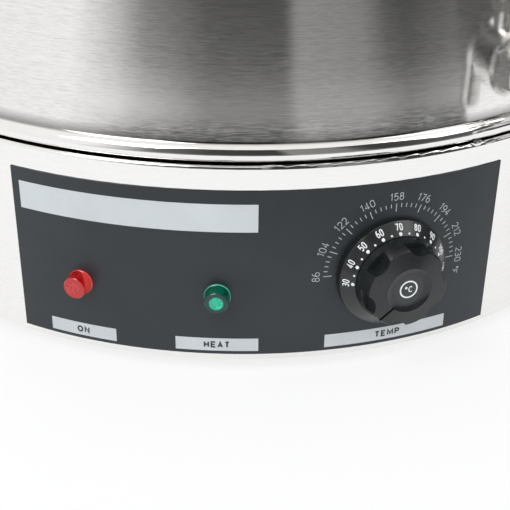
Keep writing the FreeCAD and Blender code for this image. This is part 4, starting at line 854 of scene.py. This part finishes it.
def make_surroundings():
    """The table's far side and the dark studio, for the steel to mirror."""
    material, tree, socket = emitted("mirrored_floor")
    azimuth, distance = floor_place(tree)
    tone = tones_over(tree, azimuth, MIRRORED_TONE, -180.0, 180.0)
    fall = tones_over(tree, azimuth, MIRRORED_FALL, -180.0, 180.0)
    course = tones_over(tree, distance, MIRRORED_COURSE, *TONE_SPAN)
    lost = math_node(tree, "MULTIPLY", fall, math_node(tree, "SUBTRACT", 1.0, course))
    tree.links.new(math_node(tree, "MULTIPLY", tone, math_node(tree, "SUBTRACT", 1.0, lost)), socket)
    mirrored_mesh("mirrored_floor", edge_over(NEAR_ARC, NEAR_EDGE), material)
    mirrored_mesh("mirrored_back", edge_over(BACK_ARC, BACK_EDGE), material)
    material, tree, socket = emitted("mirrored_right")
    distance = floor_place(tree)[1]
    tree.links.new(tones_over(tree, distance, RIGHT_TONES, *TONE_SPAN), socket)
    mirrored_mesh("mirrored_right", RIGHT_EDGE, material)


def make_world():
    """Soft even studio light, paler where it is seen or mirrored."""
    world = bpy.data.worlds.new("studio")
    world.use_nodes = True
    tree = world.node_tree
    background = tree.nodes["Background"]
    path = node(tree, "ShaderNodeLightPath")
    seen = math_node(tree, "MAXIMUM", path.outputs["Is Camera Ray"], path.outputs["Is Glossy Ray"])
    seen = math_node(tree, "MAXIMUM", seen, path.outputs["Is Transmission Ray"])
    tree.links.new(mixed(tree, seen, (0.96, 0.98, 1.0), (1.0, 0.995, 0.985)), background.inputs["Color"])
    lit_strength = 0.75
    seen_strength = 0.95
    tree.links.new(between(tree, seen, lit_strength, seen_strength), background.inputs["Strength"])
    bpy.context.scene.world = world


LAMP_SIDE = 1.2
LAMP_AIM = (0, 0, 0.2)


def area_light(name, place, power):
    """Soft square lamp aimed at the vessel."""
    data = bpy.data.lights.new(name, "AREA")
    data.shape = "RECTANGLE"
    data.size = data.size_y = LAMP_SIDE
    data.energy = power
    lamp = bpy.data.objects.new(name, data)
    bpy.context.scene.collection.objects.link(lamp)
    lamp.location = place
    lamp.rotation_mode = "QUATERNION"
    lamp.rotation_quaternion = (Vector(LAMP_AIM) - Vector(place)).to_track_quat("-Z", "Y")


bpy.context.scene.view_settings.view_transform = "Standard"
dress_nodes()
scale_ink = printed_ink("scale_ink", (0.5, 0.52, 0.53))
dial_ink = printed_ink("dial_ink", (0.86, 0.88, 0.89))
strip_ink = printed_ink("strip_ink", (0.03, 0.034, 0.04))
print_fahrenheit(scale_ink)
print_celsius(dial_ink)
print_strips(strip_ink)
print_knob(dial_ink)
make_camera()
make_floor()
make_surroundings()
make_world()
area_light("key", (-1.2, -1.4, 1.9), 22.0)
area_light("fill", (1.6, -0.6, 1.5), 10.0)
